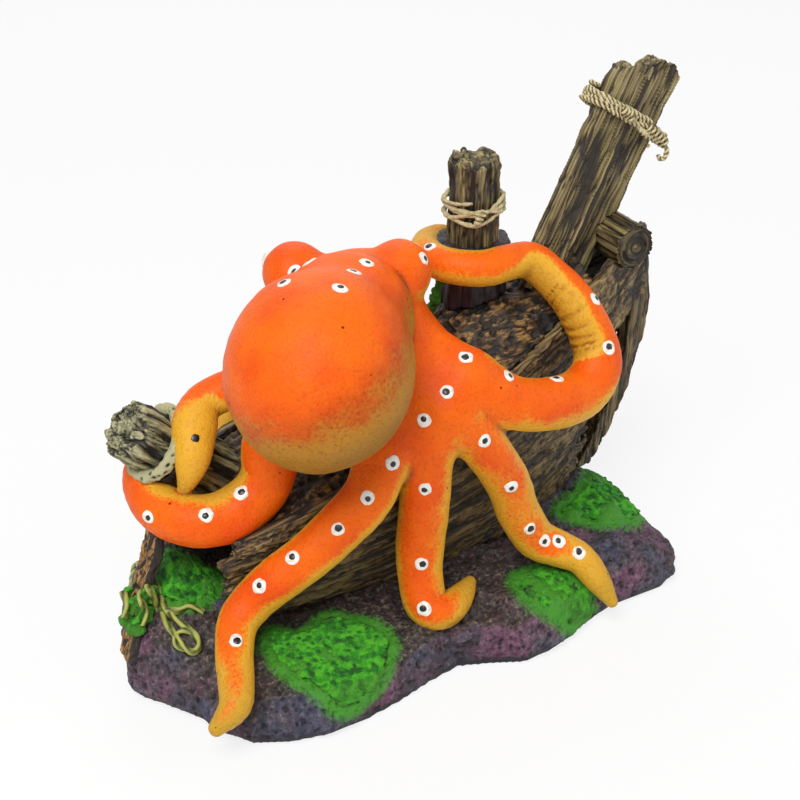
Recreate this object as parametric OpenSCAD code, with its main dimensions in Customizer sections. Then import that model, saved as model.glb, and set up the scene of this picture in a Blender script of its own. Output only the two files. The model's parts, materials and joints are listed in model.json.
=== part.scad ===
// Aquarium ornament: an octopus draped over the bow of a sunken wooden boat on a rock.
// X runs along the wreck towards the bow, Y away from the viewer, Z up.
// The ornament stands on the plane Z = 0 with the origin under the middle of its box.

/* [Rock] */
// Length of the rock base from the broken end to the bow
base_length = 160; // [148:1:172]
// Depth of the rock base from front to back
base_depth = 100; // [94:1:108]
// Height of the open rock in front of the wreck
rock_height = 13; // [11:0.5:15]
// Height of the rock heap at the broken end, above the open rock
heap_height = 15; // [12:0.5:18]
// Height of the rock knoll at the bow, above the open rock
knoll_height = 8; // [6:0.5:10]
// Thickness of the moss pads
moss_thickness = 1.8; // [1.2:0.1:2.6]
// Diameter of one strand of the vine
vine_diameter = 1.8; // [1.4:0.1:2.2]

/* [Wreck] */
// Width of the hull across its widest rail
hull_beam = 54; // [50:1:58]
// Height of the rail at the broken end
rail_low = 41.5; // [39:0.5:44]
// Height of the rail at the bow
rail_high = 93.5; // [89:0.5:98]
// Thickness of the hull planks
plank_thickness = 3.5; // [2.8:0.1:4.2]
// Step by which a plank's lower edge stands out over the next plank
plank_lap = 0.8; // [0.4:0.1:1.2]
// Thickness of the deck at its edge
deck_thickness = 4; // [3:0.5:6]
// Rise of the deck mound over the rail
deck_crown = 8; // [6:0.5:10]
// Width of the stem post
stem_width = 6; // [5:0.5:8]
// Depth of the stem post along the boat
stem_depth = 6; // [5:0.5:8]
// Diameter of the log at the stem head
log_diameter = 13; // [11:0.5:15]
// Length of the log at the stem head
log_length = 16; // [14:0.5:20]

/* [Posts] */
// Diameter of the right bollard
bollard_diameter = 14; // [12:0.5:16]
// Height of the right bollard over its stump
bollard_height = 25; // [21:0.5:29]
// Diameter of the right bollard's stump under the wrapped arm
stump_diameter = 17; // [16.5:0.5:19]
// Height of the stump over the deck mound
stump_height = 16; // [13:0.5:19]
// Diameter of the left bollard
left_bollard_diameter = 16; // [14:0.5:18]
// Length of the left bollard out of the deck
left_bollard_length = 32; // [28:0.5:36]
// Lean of the left bollard from the upright, in degrees
left_bollard_lean = 48.5; // [44:0.5:52]
// Width of the wide timber
timber_width = 11.5; // [10.5:0.5:13]
// Width of the side timber
side_timber_width = 13; // [12:0.5:14]
// Thickness of both timbers
timber_thickness = 6; // [5.5:0.5:7]
// Length of the wide timber
timber_length = 66; // [60:1:72]
// Length of the side timber
side_timber_length = 70; // [64:1:76]
// Lean of the wide timber from the upright, in degrees
timber_lean = 26; // [24:0.5:28]
// Lean of the side timber from the wide one, in degrees
side_timber_lean = 2; // [1:0.5:3]

/* [Ropes] */
// Diameter of the lashing rope
rope_diameter = 2; // [1.6:0.1:2.1]
// Rise of one loop of a lashing
rope_pitch = 2.8; // [2.6:0.1:3.4]
// Loops of rope on each lashing
rope_loops = 3; // [2:1:4]
// Loops of rope on the left bollard
left_rope_loops = 1; // [1:1:2]

/* [Octopus] */
// Width of the mantle
mantle_width = 45; // [41:1:49]
// Length of the mantle
mantle_length = 49; // [45:1:53]
// Width of the head between the eye mounds
head_width = 33; // [30:1:36]
// Diameter of an eye mound
eye_mound_diameter = 16; // [14:0.5:18]
// Diameter of an eye
eye_diameter = 8; // [6.5:0.5:9]
// Thickness of the thickest arm at the web
arm_diameter = 14; // [12.5:0.5:15.5]
// Diameter of a white spot
spot_diameter = 4.4; // [3.8:0.1:5]
// Diameter of a spot's black pupil
pupil_diameter = 2; // [1.6:0.1:2.4]
// Height of a spot over the skin
spot_height = 0.5; // [0.3:0.1:0.8]

/* [Hidden] */

// Faces of a turned or swept surface
arm_sides = 10;
post_sides = 18;
mantle_sides = 24;
ball_sides = 12;
spot_sides = 8;
pupil_sides = 5;
rope_sides = 6;
pebble_sides = 7;
log_sides = 18;
// Overrun of a cutter or of a piece let into its neighbour
overrun = 2;

// Vectors and curves

function unit(v) = v / norm(v);
function across(v, along) = unit(v - (v * along) * along);
function mix(a, b, share) = a + (b - a) * share;
function held(value, low, high) = max(low, min(high, value));
function bell(share) = exp(-share * share);

// A point between b and c of a smooth curve through a, b, c and d
function curve_point(a, b, c, d, t) =
    b + (c - a) * t / 2 + (2 * a - 5 * b + 4 * c - d) * t * t / 2 + (3 * b - a - 3 * c + d) * t * t * t / 2;

// Points of a smooth open curve through a list, some steps to each span
function smooth(p, steps) = concat(
    [for (i = [0 : len(p) - 2], s = [0 : steps - 1])
        curve_point(p[max(i - 1, 0)], p[i], p[i + 1], p[min(i + 2, len(p) - 1)], s / steps)],
    [p[len(p) - 1]]
);

// Points of a smooth closed curve through a list
function smooth_loop(p, steps) = [
    for (i = [0 : len(p) - 1], s = [0 : steps - 1])
        curve_point(p[(i + len(p) - 1) % len(p)], p[i], p[(i + 1) % len(p)], p[(i + 2) % len(p)], s / steps)
];

// Value of a table of evenly spaced entries at a share of its length
function table_at(table, share) =
    let(place = held(share, 0, 1) * (len(table) - 1), i = min(floor(place), len(table) - 2))
    curve_point(table[max(i - 1, 0)], table[i], table[i + 1], table[min(i + 2, len(table) - 1)], place - i);

function headings(route) = [
    for (i = [0 : len(route) - 1]) unit(route[min(i + 1, len(route) - 1)] - route[max(i - 1, 0)])
];

// A side vector carried along a route without twisting
function carried_sides(ahead, first) = [
    for (i = 0, side = across(first, ahead[0]);
         i < len(ahead);
         i = i + 1, side = i < len(ahead) ? across(side, ahead[i]) : side) side
];

// Rings of points round a route, each with its own radius and with optional flutes
function tube_rings(route, radii, sides, first, flutes = 0, flute_share = 0) =
    let(ahead = headings(route), side = carried_sides(ahead, first))
    [for (i = [0 : len(route) - 1])
        let(up = cross(ahead[i], side[i]))
        [for (k = [0 : sides - 1])
            let(turn = 360 * k / sides, reach = radii[i] * (1 + flute_share * cos(flutes * turn)))
            route[i] + reach * (cos(turn) * side[i] + sin(turn) * up)]];

function middle(ring) = [for (axis = [0 : 2]) let(v = [for (p = ring) p[axis]]) (min(v) + max(v)) / 2];

// A closed solid over rings of equal count, with a fan at each end
module lofted(rings) {
    count = len(rings[0]);
    last = len(rings) - 1;
    points = concat([for (ring = rings) each ring], [middle(rings[0]), middle(rings[last])]);
    start = len(points) - 2;
    finish = len(points) - 1;
    polyhedron(points, concat(
        [for (i = [0 : last - 1], k = [0 : count - 1], half = [0, 1])
            let(a = i * count + k, b = i * count + (k + 1) % count)
            half == 0 ? [a, a + count, b] : [b, a + count, b + count]],
        [for (k = [0 : count - 1]) [start, k, (k + 1) % count]],
        [for (k = [0 : count - 1]) [finish, last * count + (k + 1) % count, last * count + k]]
    ));
}

module tube(route, radii, sides, first, flutes = 0, flute_share = 0) {
    lofted(tube_rings(route, radii, sides, first, flutes, flute_share));
}

module ball(center, radius, sides = ball_sides) {
    translate(center) sphere(r = radius, $fn = sides);
}

// Moves what is drawn about the rock so that the ornament's box stands over the origin
module placed() {
    translate(origin_shift) children();
}

// The first child less the others, as one closed surface with exact shared faces
module fitted() {
    placed()
        resize([0, 0, 0])
            difference() {
                children(0);
                children([1 : 1 : $children - 1]);
            }
}

// Rock base
// The outline, in shares of the base's length and depth, from the broken end round the front

function rock_place(share) = [
    (share[0] - 0.042) * base_length,
    share[1] * base_depth
];
rock_outline_shares = [
    [-0.485, 0.03], [-0.503, -0.085], [-0.474, -0.165], [-0.43, -0.28], [-0.386, -0.42], [-0.269, -0.49],
    [-0.135, -0.47], [-0.003, -0.425], [0.102, -0.5], [0.198, -0.475], [0.313, -0.416], [0.43, -0.417],
    [0.488, -0.347], [0.497, -0.25], [0.497, -0.12], [0.493, 0.02], [0.467, 0.18], [0.404, 0.34],
    [0.279, 0.44], [0.117, 0.49], [-0.058, 0.47], [-0.22, 0.5], [-0.34, 0.42], [-0.41, 0.3], [-0.455, 0.16]
];
// Each ring of the rock: share of the outline's reach, and share of the rock's height there
rock_ring_shares = [[0.98, 0], [1, 0.2], [0.98, 0.5], [0.92, 0.82], [0.8, 1], [0.6, 1], [0.3, 1]];
// Lumps of the rock: place and spread as shares of the base, and height over the open rock
rock_lumps = [
    [-0.4, 0.06, 0.13, heap_height],
    [0.42, -0.06, 0.1, knoll_height],
    [0.3, 0.2, 0.12, knoll_height / 2],
    [-0.2, 0.34, 0.1, rock_height / 4],
    [-0.24, -0.36, 0.07, rock_height / 8],
    [0.15, -0.42, 0.06, rock_height / 8]
];

function rock_top(x, y) = rock_height + rock_roughness(x, y) + sum_of([
    for (lump = rock_lumps)
        let(centre = rock_place(lump), spread = lump[2] * base_length)
        lump[3] * bell(norm([x, y] - centre) / spread)
]);
function sum_of(list) = list * [for (entry = list) 1];
rock_wave_shares = [0.06, 0.043];
function rock_roughness(x, y) =
    let(across_wave = rock_wave_shares[0] * base_length, along_wave = rock_wave_shares[1] * base_length)
    rock_height / 16 * (sin(360 * x / across_wave) + cos(360 * (y + x / 3) / along_wave));

module rock_solid(lift = 0) {
    outline = smooth_loop([for (share = rock_outline_shares) rock_place(share)], 2);
    centre = rock_place([0, 0]);
    rings = [
        for (ring = rock_ring_shares)
            [for (p = outline)
                let(q = mix(centre, p, ring[0]))
                [q[0], q[1], ring[1] * rock_top(q[0], q[1]) + lift]]
    ];
    lofted(rings);
}

module rock_base() {
    color("#6E5F6E") placed() rock_solid();
}

// Hull
// Stations run from 0 at the broken end to 1 at the stem, and levels from 0 at the keel to 1 at the rail

hull_centre = 0.06 * base_depth;
hull_start = -0.3875 * base_length;
keel_low = rock_height / 2;
keel_rise = 0.2 * rail_high;
stem_half = stem_width / 2;
bow_half = stem_half + plank_thickness;
// Breadth of the hull at evenly spaced stations, as shares of the way from the bow's to the widest
plan_shares = [0.75, 0.88, 0.97, 1, 0.98, 0.92, 0.8, 0.6, 0.32, 0];
flare_share = 0.62;
strake_levels_share = [0, 0.2, 0.38, 0.55, 0.7, 0.85, 1];
station_count = 12;

function rail_height(t) = mix(rail_low, rail_high, 0.577 * t + 0.423 * t * t);
function keel_height(t) = keel_low + keel_rise * pow(t, 4);
function stem_place(level) = (0.431 + 0.224 * level - 0.18 * level * level) * base_length;
function half_breadth(t, level) =
    let(breadth = mix(bow_half, hull_beam / 2, table_at(plan_shares, t)))
    mix(bow_half, breadth, mix(flare_share, 1, sin(90 * level)));
function hull_height(t, level) = mix(keel_height(t), rail_height(t), level);
function hull_station(x) = (x - hull_start) / (stem_place(1) - hull_start);

// A point of the hull's skin, set in from it by some depth; side is -1 on the near side and 1 on the far side
function hull_point(t, level, side, depth) = [
    mix(hull_start, stem_place(level), t),
    hull_centre + side * (half_breadth(t, level) - depth),
    hull_height(t, level)
];

// Where each strake starts and ends: station shares of its lower and upper edges
near_start_shares = [[0.12, 0.1], [0.08, 0.07], [0.03, 0.05], [-0.01, 0.02], [0.01, -0.01], [0.02, 0.03]];
near_end_shares = [[0.87, 0.9], [0.86, 0.88], [0.83, 0.87], [0.86, 0.92], [1, 1], [1, 1]];
far_start_shares = [[0.02, 0], [-0.02, 0.01], [0.03, 0.02], [0, -0.02], [0.02, 0.03], [0, 0.02]];
far_end_shares = [[1, 1], [1, 1], [1, 1], [1, 1], [1, 1], [1, 1]];

module strake_solid(index, side) {
    starts = side < 0 ? near_start_shares[index] : far_start_shares[index];
    ends = side < 0 ? near_end_shares[index] : far_end_shares[index];
    low = strake_levels_share[index];
    high = strake_levels_share[index + 1];
    lofted([
        for (i = [0 : station_count])
            let(t_low = mix(starts[0], ends[0], i / station_count),
                t_high = mix(starts[1], ends[1], i / station_count),
                corners = [
                    hull_point(t_low, low, side, -plank_lap),
                    hull_point(t_high, high, side, 0),
                    hull_point(t_high, high, side, plank_thickness),
                    hull_point(t_low, low, side, plank_thickness)
                ])
            side < 0 ? [for (k = [3 : -1 : 0]) corners[k]] : corners
    ]);
}

module hull_solid() {
    for (side = [-1, 1], index = [0 : 5]) strake_solid(index, side);
}

module strake(index, side) {
    color(index % 2 == 0 ? "#6B5636" : "#7D6742")
        fitted() {
            strake_solid(index, side);
            rock_solid();
            stem_solid();
            log_solid();
        }
}

// Stem post, along the bow's curve
stem_levels_share = [-0.15, 0, 0.2, 0.4, 0.6, 0.8, 0.96];

module stem_solid() {
    lofted([
        for (level = stem_levels_share)
            let(x = stem_place(level), z = hull_height(1, level))
            [
                [x + stem_depth, hull_centre - stem_half / 2, z],
                [x + stem_depth, hull_centre + stem_half / 2, z],
                [x - stem_depth / 4, hull_centre + stem_half, z],
                [x - stem_depth / 4, hull_centre - stem_half, z]
            ]
    ]);
}

module stem_post() {
    color("#9A7B45")
        fitted() {
            stem_solid();
            rock_solid();
            log_solid();
        }
}

// Log at the stem head, which points at the viewer
log_centre = [stem_place(1) - stem_depth, hull_centre, rail_high - stem_depth / 2];
log_ring_shares = [[-0.8, 0.86], [-0.76, 1], [-0.3, 1], [0.1, 0.96], [0.2, 0.84]];

module log_solid() {
    tube(
        [for (ring = log_ring_shares) log_centre + [0, ring[0] * log_length, 0]],
        [for (ring = log_ring_shares) ring[1] * log_diameter / 2],
        log_sides, [0, 0, 1], 6, 0.05
    );
}

module stem_log() {
    color("#7A6238") placed() log_solid();
}

// Deck with its mound
deck_start_share = 0.04;
deck_end_share = 0.86;
deck_stations = 12;
crown_shares = [0.2, 0.2, 0.35, 0.72, 1.15, 2.1, 1, 0.8, 0.5];
deck_cross_shares = [-1, -0.7, -0.35, 0, 0.35, 0.7, 1];
deck_drop = plank_thickness / 2;

function deck_height(t, share) =
    rail_height(t) - deck_drop
    + deck_crown * table_at(crown_shares, t) * (1 - share * share) * (1 + 0.16 * sin(900 * t + 200 * share));
function deck_depth(share) = deck_thickness * (2 - abs(share));
function deck_half(t) = half_breadth(t, 1) - plank_thickness / 2;

module deck_solid() {
    lofted([
        for (i = [0 : deck_stations])
            let(t = mix(deck_start_share, deck_end_share, i / deck_stations),
                x = mix(hull_start, stem_place(1), t),
                half = deck_half(t))
            concat(
                [for (share = deck_cross_shares)
                    [x, hull_centre + share * half, deck_height(t, share) - deck_depth(share)]],
                [for (k = [len(deck_cross_shares) - 1 : -1 : 0])
                    let(share = deck_cross_shares[k])
                    [x, hull_centre + share * half, deck_height(t, share)]]
            )
    ]);
}

module deck() {
    color("#5B4A2E")
        fitted() {
            deck_solid();
            hull_solid();
        }
}

// Broken plank that stands at the wreck's left end
end_plank_shares = [
    [-0.533, -0.07, 0.25], [-0.506, -0.02, 0.48], [-0.475, 0.005, 0.72], [-0.445, 0.035, 0.95]
];
end_plank_half = plank_thickness;

module end_plank_solid() {
    route = smooth([
        for (share = end_plank_shares)
            [share[0] * base_length, share[1] * base_depth, share[2] * rail_low]
    ], 2);
    lofted([
        for (p = route)
            [
                p + [-plank_thickness / 2, -end_plank_half, 0],
                p + [plank_thickness / 2, -end_plank_half, 0],
                p + [plank_thickness / 2, end_plank_half, 0],
                p + [-plank_thickness / 2, end_plank_half, 0]
            ]
    ]);
}

module end_plank() {
    color("#B0803C")
        fitted() {
            end_plank_solid();
            rock_solid();
            hull_solid();
            deck_solid();
        }
}

// Right bollard and its stump
bollard_x = 0.1625 * base_length;
bollard_y = 0.08 * base_depth;
stump_foot = deck_height(hull_station(bollard_x), 0) - deck_thickness / 2;
stump_top = stump_foot + stump_height;
stump_ring_shares = [[-0.08, 1.12], [0.3, 1.1], [0.6, 1], [1, 1]];
bollard_ring_shares = [[0, 1], [0.3, 0.96], [0.7, 0.96], [0.94, 1.02], [1, 0.86]];
bollard_tip_share = 0.09;

module stump_solid() {
    tube(
        [for (ring = stump_ring_shares) [bollard_x, bollard_y, stump_foot + ring[0] * stump_height]],
        [for (ring = stump_ring_shares) ring[1] * stump_diameter / 2],
        post_sides, [1, 0, 0], 9, 0.03
    );
}

module bollard_stump() {
    color("#3A3024")
        fitted() {
            stump_solid();
            deck_solid();
        }
}

module bollard_solid() {
    tube(
        [for (ring = bollard_ring_shares) [bollard_x, bollard_y, stump_top + ring[0] * bollard_height]],
        [for (ring = bollard_ring_shares) ring[1] * bollard_diameter / 2],
        post_sides, [1, 0, 0], 9, 0.06
    );
}

module bollard_right() {
    color("#7A6136") placed() bollard_solid();
}

// Left bollard, which leans out over the broken end
left_root_share = -0.325;
left_root = [left_root_share * base_length, 0.1 * base_depth, rail_height(0.07) + plank_thickness];
left_way = [-sin(left_bollard_lean), 0, cos(left_bollard_lean)];
left_ring_shares = [[-0.06, 1], [0.7, 0.98], [0.86, 1.04], [0.95, 0.98], [1, 0.8]];
collar_place_share = 0.5;
collar_length = left_bollard_diameter / 5;
collar_diameter = 1.22 * left_bollard_diameter;

function left_axis(share) = left_root + share * left_bollard_length * left_way;

module bollard_left_solid() {
    tube(
        [for (ring = left_ring_shares) left_axis(ring[0])],
        [for (ring = left_ring_shares) ring[1] * left_bollard_diameter / 2],
        post_sides, [0, 1, 0], 9, 0.05
    );
}

module bollard_left() {
    color("#6E6440")
        fitted() {
            bollard_left_solid();
            deck_solid();
            hull_solid();
        }
}

module collar_left_solid() {
    tube(
        [for (step = [-1, 1]) left_axis(collar_place_share) + step * collar_length / 2 * left_way],
        [collar_diameter / 2, collar_diameter / 2],
        post_sides, [1, 0, 0]
    );
}

module collar_left() {
    color("#3B2B30")
        fitted() {
            collar_left_solid();
            bollard_left_solid();
        }
}

// Leaning timbers
timber_taper_share = 0.1;
side_timber_start_share = 0.03;
side_timber_place_share = 0.8;
function lean_way(lean) = [sin(lean), 0, cos(lean)];
function lean_side(lean) = [cos(lean), 0, -sin(lean)];
timber_x = 0.272 * base_length;
timber_foot = [timber_x, 0.035 * base_depth, deck_height(hull_station(timber_x), 0) - deck_thickness / 2];
side_lean = timber_lean + side_timber_lean;
side_timber_foot = timber_foot
    + side_timber_place_share * (timber_width + side_timber_width) / 2 * lean_side(timber_lean)
    + [0, timber_thickness / 2, 0]
    + side_timber_start_share * side_timber_length * lean_way(timber_lean);
side_timber_reach = side_timber_length * (1 - side_timber_start_share);
// The end's profile across a timber: place across, and how far along it reaches, in shares
wide_end_shares = [
    [-0.5, 0.94], [-0.42, 0.985], [-0.2, 1], [-0.02, 0.985],
    [0.06, 0.96], [0.14, 0.98], [0.4, 0.97], [0.5, 0.94]
];
side_end_shares = [[-0.5, 0.94], [-0.3, 0.99], [-0.1, 1], [0.15, 1], [0.38, 0.99], [0.5, 0.965]];

module timber_solid(foot, lean, width, reach, end_shares) {
    outline = concat([[-0.5, 0], [0.5, 0]], [for (k = [len(end_shares) - 1 : -1 : 0]) end_shares[k]]);
    lofted([
        for (depth = [[-0.5, 0.92], [-0.3, 1], [0.3, 1], [0.5, 0.92]])
            [for (k = [len(outline) - 1 : -1 : 0])
                let(p = outline[k])
                foot
                + p[0] * width * depth[1] * (1 + timber_taper_share * (0.5 - p[1])) * lean_side(lean)
                + p[1] * reach * lean_way(lean)
                + [0, depth[0] * timber_thickness, 0]]
    ]);
}

module timber_wide_solid() {
    timber_solid(timber_foot, timber_lean, timber_width, timber_length, wide_end_shares);
}

module timber_side_solid() {
    timber_solid(side_timber_foot, side_lean, side_timber_width, side_timber_reach, side_end_shares);
}

module timber_wide() {
    color("#766239")
        fitted() {
            timber_wide_solid();
            deck_solid();
            hull_solid();
            log_solid();
        }
}

module timber_side() {
    color("#69583A")
        fitted() {
            timber_side_solid();
            timber_wide_solid();
            deck_solid();
            hull_solid();
            log_solid();
            stem_solid();
        }
}

// Rope lashings: one unbroken tube wound round its post, with a short straight tail at each end
rope_rings = 16;
rope_bite_share = 0.3;
round_power = 2;
box_power = 5;

// A rounded box outline of half sizes a and b at a turn
function box_reach(a, b, turn) =
    let(power = a == b ? round_power : box_power)
    1 / pow(pow(abs(cos(turn)) / a, power) + pow(abs(sin(turn)) / b, power), 1 / power);

function winding(centre, way, side, half_wide, half_deep, loop_count) =
    let(up = cross(way, side),
        loops = [
            for (i = [0 : rope_rings * loop_count])
                let(turn = 360 * i / rope_rings,
                    reach = box_reach(half_wide, half_deep, turn),
                    rise = (turn / 360 - loop_count / 2) * rope_pitch)
                centre + reach * (cos(turn) * side + sin(turn) * up) + rise * way
        ],
        start_way = unit(loops[0] - loops[1]),
        end_way = unit(loops[len(loops) - 1] - loops[len(loops) - 2]))
    concat([loops[0] + rope_diameter * start_way], loops, [loops[len(loops) - 1] + rope_diameter * end_way]);

// The least gap that a wound tube leaves to itself, over points at least half a loop apart
function own_gap(route) = min([
    for (i = [0 : len(route) - 1], j = [i + rope_rings / 2 : 1 : len(route) - 1]) norm(route[i] - route[j])
]) - rope_diameter;

module rope(route, first) {
    echo(least_gap_mm = own_gap(route));
    tube(route, [for (p = route) rope_diameter / 2], rope_sides, first);
}

function rope_reach(post_width) = post_width / 2 + rope_diameter / 2 * (1 - rope_bite_share);

right_lash_share = 0.43;
right_lash_half = rope_reach(bollard_diameter);
right_lash_centre = [bollard_x, bollard_y, stump_top + right_lash_share * bollard_height];

module lashing_right() {
    color("#C9B98A")
        fitted() {
            rope(
                winding(right_lash_centre, [0, 0, 1], [0, 1, 0],
                    right_lash_half, right_lash_half, rope_loops),
                [1, 0, 0]
            );
            bollard_solid();
        }
}

left_lash_half = rope_reach(left_bollard_diameter);
left_lash_centre = left_axis(collar_place_share)
    + (collar_length / 2 + rope_pitch * left_rope_loops / 2 + rope_diameter / 2) * left_way;

module left_rope() {
    rope(
        winding(left_lash_centre, left_way, [0, 1, 0], left_lash_half, left_lash_half, left_rope_loops),
        [1, 0, 0]
    );
}

module lashing_left() {
    color("#C9B98A")
        fitted() {
            left_rope();
            collar_left_solid();
            bollard_left_solid();
        }
}

timbers_lash_share = 0.8;
timbers_lash_lean = timber_lean + side_timber_lean / 2;
timbers_lash_centre = mix(
    timber_foot + timbers_lash_share * timber_length * lean_way(timber_lean)
        - timber_width / 2 * lean_side(timber_lean),
    side_timber_foot + timbers_lash_share * side_timber_reach * lean_way(side_lean)
        + side_timber_width / 2 * lean_side(side_lean),
    0.5
);
timbers_lash_wide = rope_reach(0.98 * (timber_width + side_timber_width));
timbers_lash_deep = rope_reach(1.56 * timber_thickness);

module lashing_timbers() {
    color("#C9B98A")
        fitted() {
            rope(
                winding(timbers_lash_centre, lean_way(timbers_lash_lean), lean_side(timbers_lash_lean),
                    timbers_lash_wide, timbers_lash_deep, rope_loops),
                [0, 1, 0]
            );
            timber_wide_solid();
            timber_side_solid();
        }
}

// Octopus
// Its heights are shares of the height at which it sits on the deck

seat_height = deck_height(hull_station(-0.03 * base_length), 0);
// Across the boat, a share up to side_share from the hull's middle follows the hull's breadth,
// and the rest of it follows the open rock in front of the hull or behind it
side_share = 0.3;
side_reach = hull_beam / 1.8;
middle_share = hull_centre / base_depth;
front_space = base_depth / 2 + hull_centre - side_reach;
back_space = base_depth / 2 - hull_centre - side_reach;

function octo_depth(share) =
    let(reach_share = share - middle_share,
        hull_share = held(reach_share, -side_share, side_share),
        open_share = reach_share - hull_share)
    hull_centre + hull_share / side_share * side_reach
    + (open_share < 0 ? open_share / (0.5 + middle_share - side_share) * front_space
        : open_share / (0.5 - middle_share - side_share) * back_space);
// Past the left bollard's root the first two arms keep to the bollard
left_spread_share = 5;
left_spread = left_spread_share * left_bollard_length;

function octo_length(share, i) =
    i < 2 && share < left_root_share
        ? left_root[0] + (share - left_root_share) * left_spread
        : share * base_length;
function octo_place(share, i = undef) = [
    i == undef ? share[0] * base_length : octo_length(share[0], i),
    octo_depth(share[1]),
    share[2] * seat_height
];

head_centre = octo_place([-0.0875, -0.01, 1.42]);
web_centre = octo_place([-0.045, -0.07, 1.2]);
head_radius = head_width / 2;
web_radius = 0.84 * head_radius;
left_mound_centre = head_centre + head_radius * [-0.86, 0.44, 0.7];
right_mound_centre = head_centre + head_radius * [0.5, -0.4, 0.76];
mantle_way = unit([-0.56, -0.67, -0.49]);
mantle_side = unit([0.77, -0.64, 0]);
mantle_neck_way = unit([-0.68, -0.73, 0.08]);
mantle_centre = head_centre + (0.62 * mantle_width + 0.55 * head_radius) * mantle_neck_way;

// Arms: routes in shares of the base's length and depth and of the seat's height, then thickness shares
arm_shares = [
    [[-0.11, -0.02, 1.22, 0.95], [-0.21, 0.03, 1.19, 0.8], [-0.285, 0.08, 1.14, 0.68],
     [-0.338, 0.09, 1.095, 0.64], [-0.368, 0.05, 1.03, 0.64], [-0.386, 0.005, 0.945, 0.68],
     [-0.398, -0.01, 0.845, 0.6], [-0.41, 0.005, 0.775, 0.3]],
    [[-0.09, -0.12, 1.13, 1], [-0.18, -0.1, 1.09, 1], [-0.262, -0.06, 1, 1], [-0.275, -0.075, 0.87, 1],
     [-0.302, -0.085, 0.78, 1], [-0.35, -0.085, 0.725, 1], [-0.402, -0.06, 0.72, 0.98],
     [-0.438, 0.02, 0.735, 0.92], [-0.446, 0.1, 0.78, 0.8], [-0.43, 0.17, 0.82, 0.6],
     [-0.4, 0.2, 0.84, 0.3]],
    [[-0.07, -0.13, 1.12, 1], [-0.12, -0.23, 1, 1], [-0.16, -0.27, 0.84, 0.96],
     [-0.213, -0.262, 0.71, 0.92], [-0.262, -0.25, 0.61, 0.9], [-0.31, -0.235, 0.53, 0.86],
     [-0.35, -0.215, 0.44, 0.8], [-0.385, -0.23, 0.375, 0.76], [-0.41, -0.29, 0.325, 0.7],
     [-0.428, -0.36, 0.28, 0.66], [-0.448, -0.42, 0.24, 0.58], [-0.485, -0.44, 0.19, 0.3]],
    [[-0.055, -0.12, 1.14, 1], [-0.053, -0.25, 0.99, 0.98], [-0.06, -0.275, 0.76, 0.94],
     [-0.065, -0.27, 0.56, 0.92], [-0.072, -0.285, 0.39, 0.88], [-0.076, -0.33, 0.27, 0.82],
     [-0.055, -0.36, 0.25, 0.7], [-0.018, -0.34, 0.25, 0.52], [0.02, -0.3, 0.26, 0.25]],
    [[-0.03, -0.12, 1.2, 1], [-0.015, -0.255, 1.11, 0.96], [0.048, -0.285, 0.905, 0.9],
     [0.098, -0.285, 0.68, 0.86], [0.122, -0.285, 0.51, 0.84], [0.152, -0.3, 0.37, 0.8],
     [0.182, -0.34, 0.33, 0.72], [0.213, -0.375, 0.285, 0.62], [0.226, -0.43, 0.215, 0.52],
     [0.238, -0.475, 0.13, 0.26]],
    [[-0.015, -0.1, 1.24, 1], [0.03, -0.23, 1.2, 1], [0.098, -0.285, 1.08, 1], [0.182, -0.29, 1, 1],
     [0.248, -0.27, 0.99, 0.98], [0.288, -0.25, 1.06, 0.94], [0.304, -0.21, 1.165, 0.9],
     [0.296, -0.16, 1.31, 0.85], [0.27, -0.09, 1.42, 0.78], [0.232, -0.035, 1.485, 0.72]],
    [[0, 0.04, 1.24, 0.9], [0.038, 0.16, 1.19, 0.86], [0.05, 0.28, 1.12, 0.8], [0.056, 0.36, 1, 0.76],
     [0.044, 0.395, 0.76, 0.72], [0.028, 0.395, 0.56, 0.68], [0.038, 0.405, 0.38, 0.62],
     [0.08, 0.42, 0.28, 0.5], [0.125, 0.4, 0.255, 0.25]],
    [[-0.09, 0.06, 1.24, 0.9], [-0.135, 0.18, 1.13, 0.86], [-0.16, 0.28, 1.02, 0.8],
     [-0.185, 0.355, 0.88, 0.76], [-0.21, 0.385, 0.68, 0.72], [-0.235, 0.39, 0.5, 0.68],
     [-0.275, 0.41, 0.36, 0.6], [-0.33, 0.42, 0.285, 0.5], [-0.365, 0.39, 0.26, 0.25]]
];
// The sixth arm ends in a wrap round the stump: its turns in degrees and thickness shares
wrap_turns = [-75, -100, -125, -150, -175, -200, -225, -250, -270];
wrap_shares = [0.68, 0.68, 0.68, 0.68, 0.66, 0.64, 0.58, 0.46, 0.24];
wrap_radius = stump_diameter / 2 + 0.3 * arm_diameter;

wrap_centre = [bollard_x, bollard_y, stump_top - 0.3 * arm_diameter];
wrap_stations = [
    for (i = [0 : len(wrap_turns) - 1])
        concat(
            wrap_centre + wrap_radius * [cos(wrap_turns[i]), sin(wrap_turns[i]), 0],
            [wrap_shares[i]]
        )
];
function arm_stations(i) = concat(
    [for (share = arm_shares[i]) concat(octo_place(share, i), [share[3]])],
    i == 5 ? wrap_stations : []
);
arm_steps = 2;
// The web takes in the arm's root by this share of the arm's thickness
web_grip_share = 1.06;
function arm_line(i) = smooth(arm_stations(i), arm_steps);
function arm_route(i) = [for (p = arm_line(i)) [p[0], p[1], p[2]]];
function arm_radii(i) = [for (p = arm_line(i)) max(p[3], 0.2) * arm_diameter / 2];

// The solid starts inside the web
function from_web(list) = [for (k = [arm_steps : len(list) - 1]) list[k]];

module arm_solid(i) {
    tube(from_web(arm_route(i)), from_web(arm_radii(i)), arm_sides, [0, 0, 1]);
}

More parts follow.
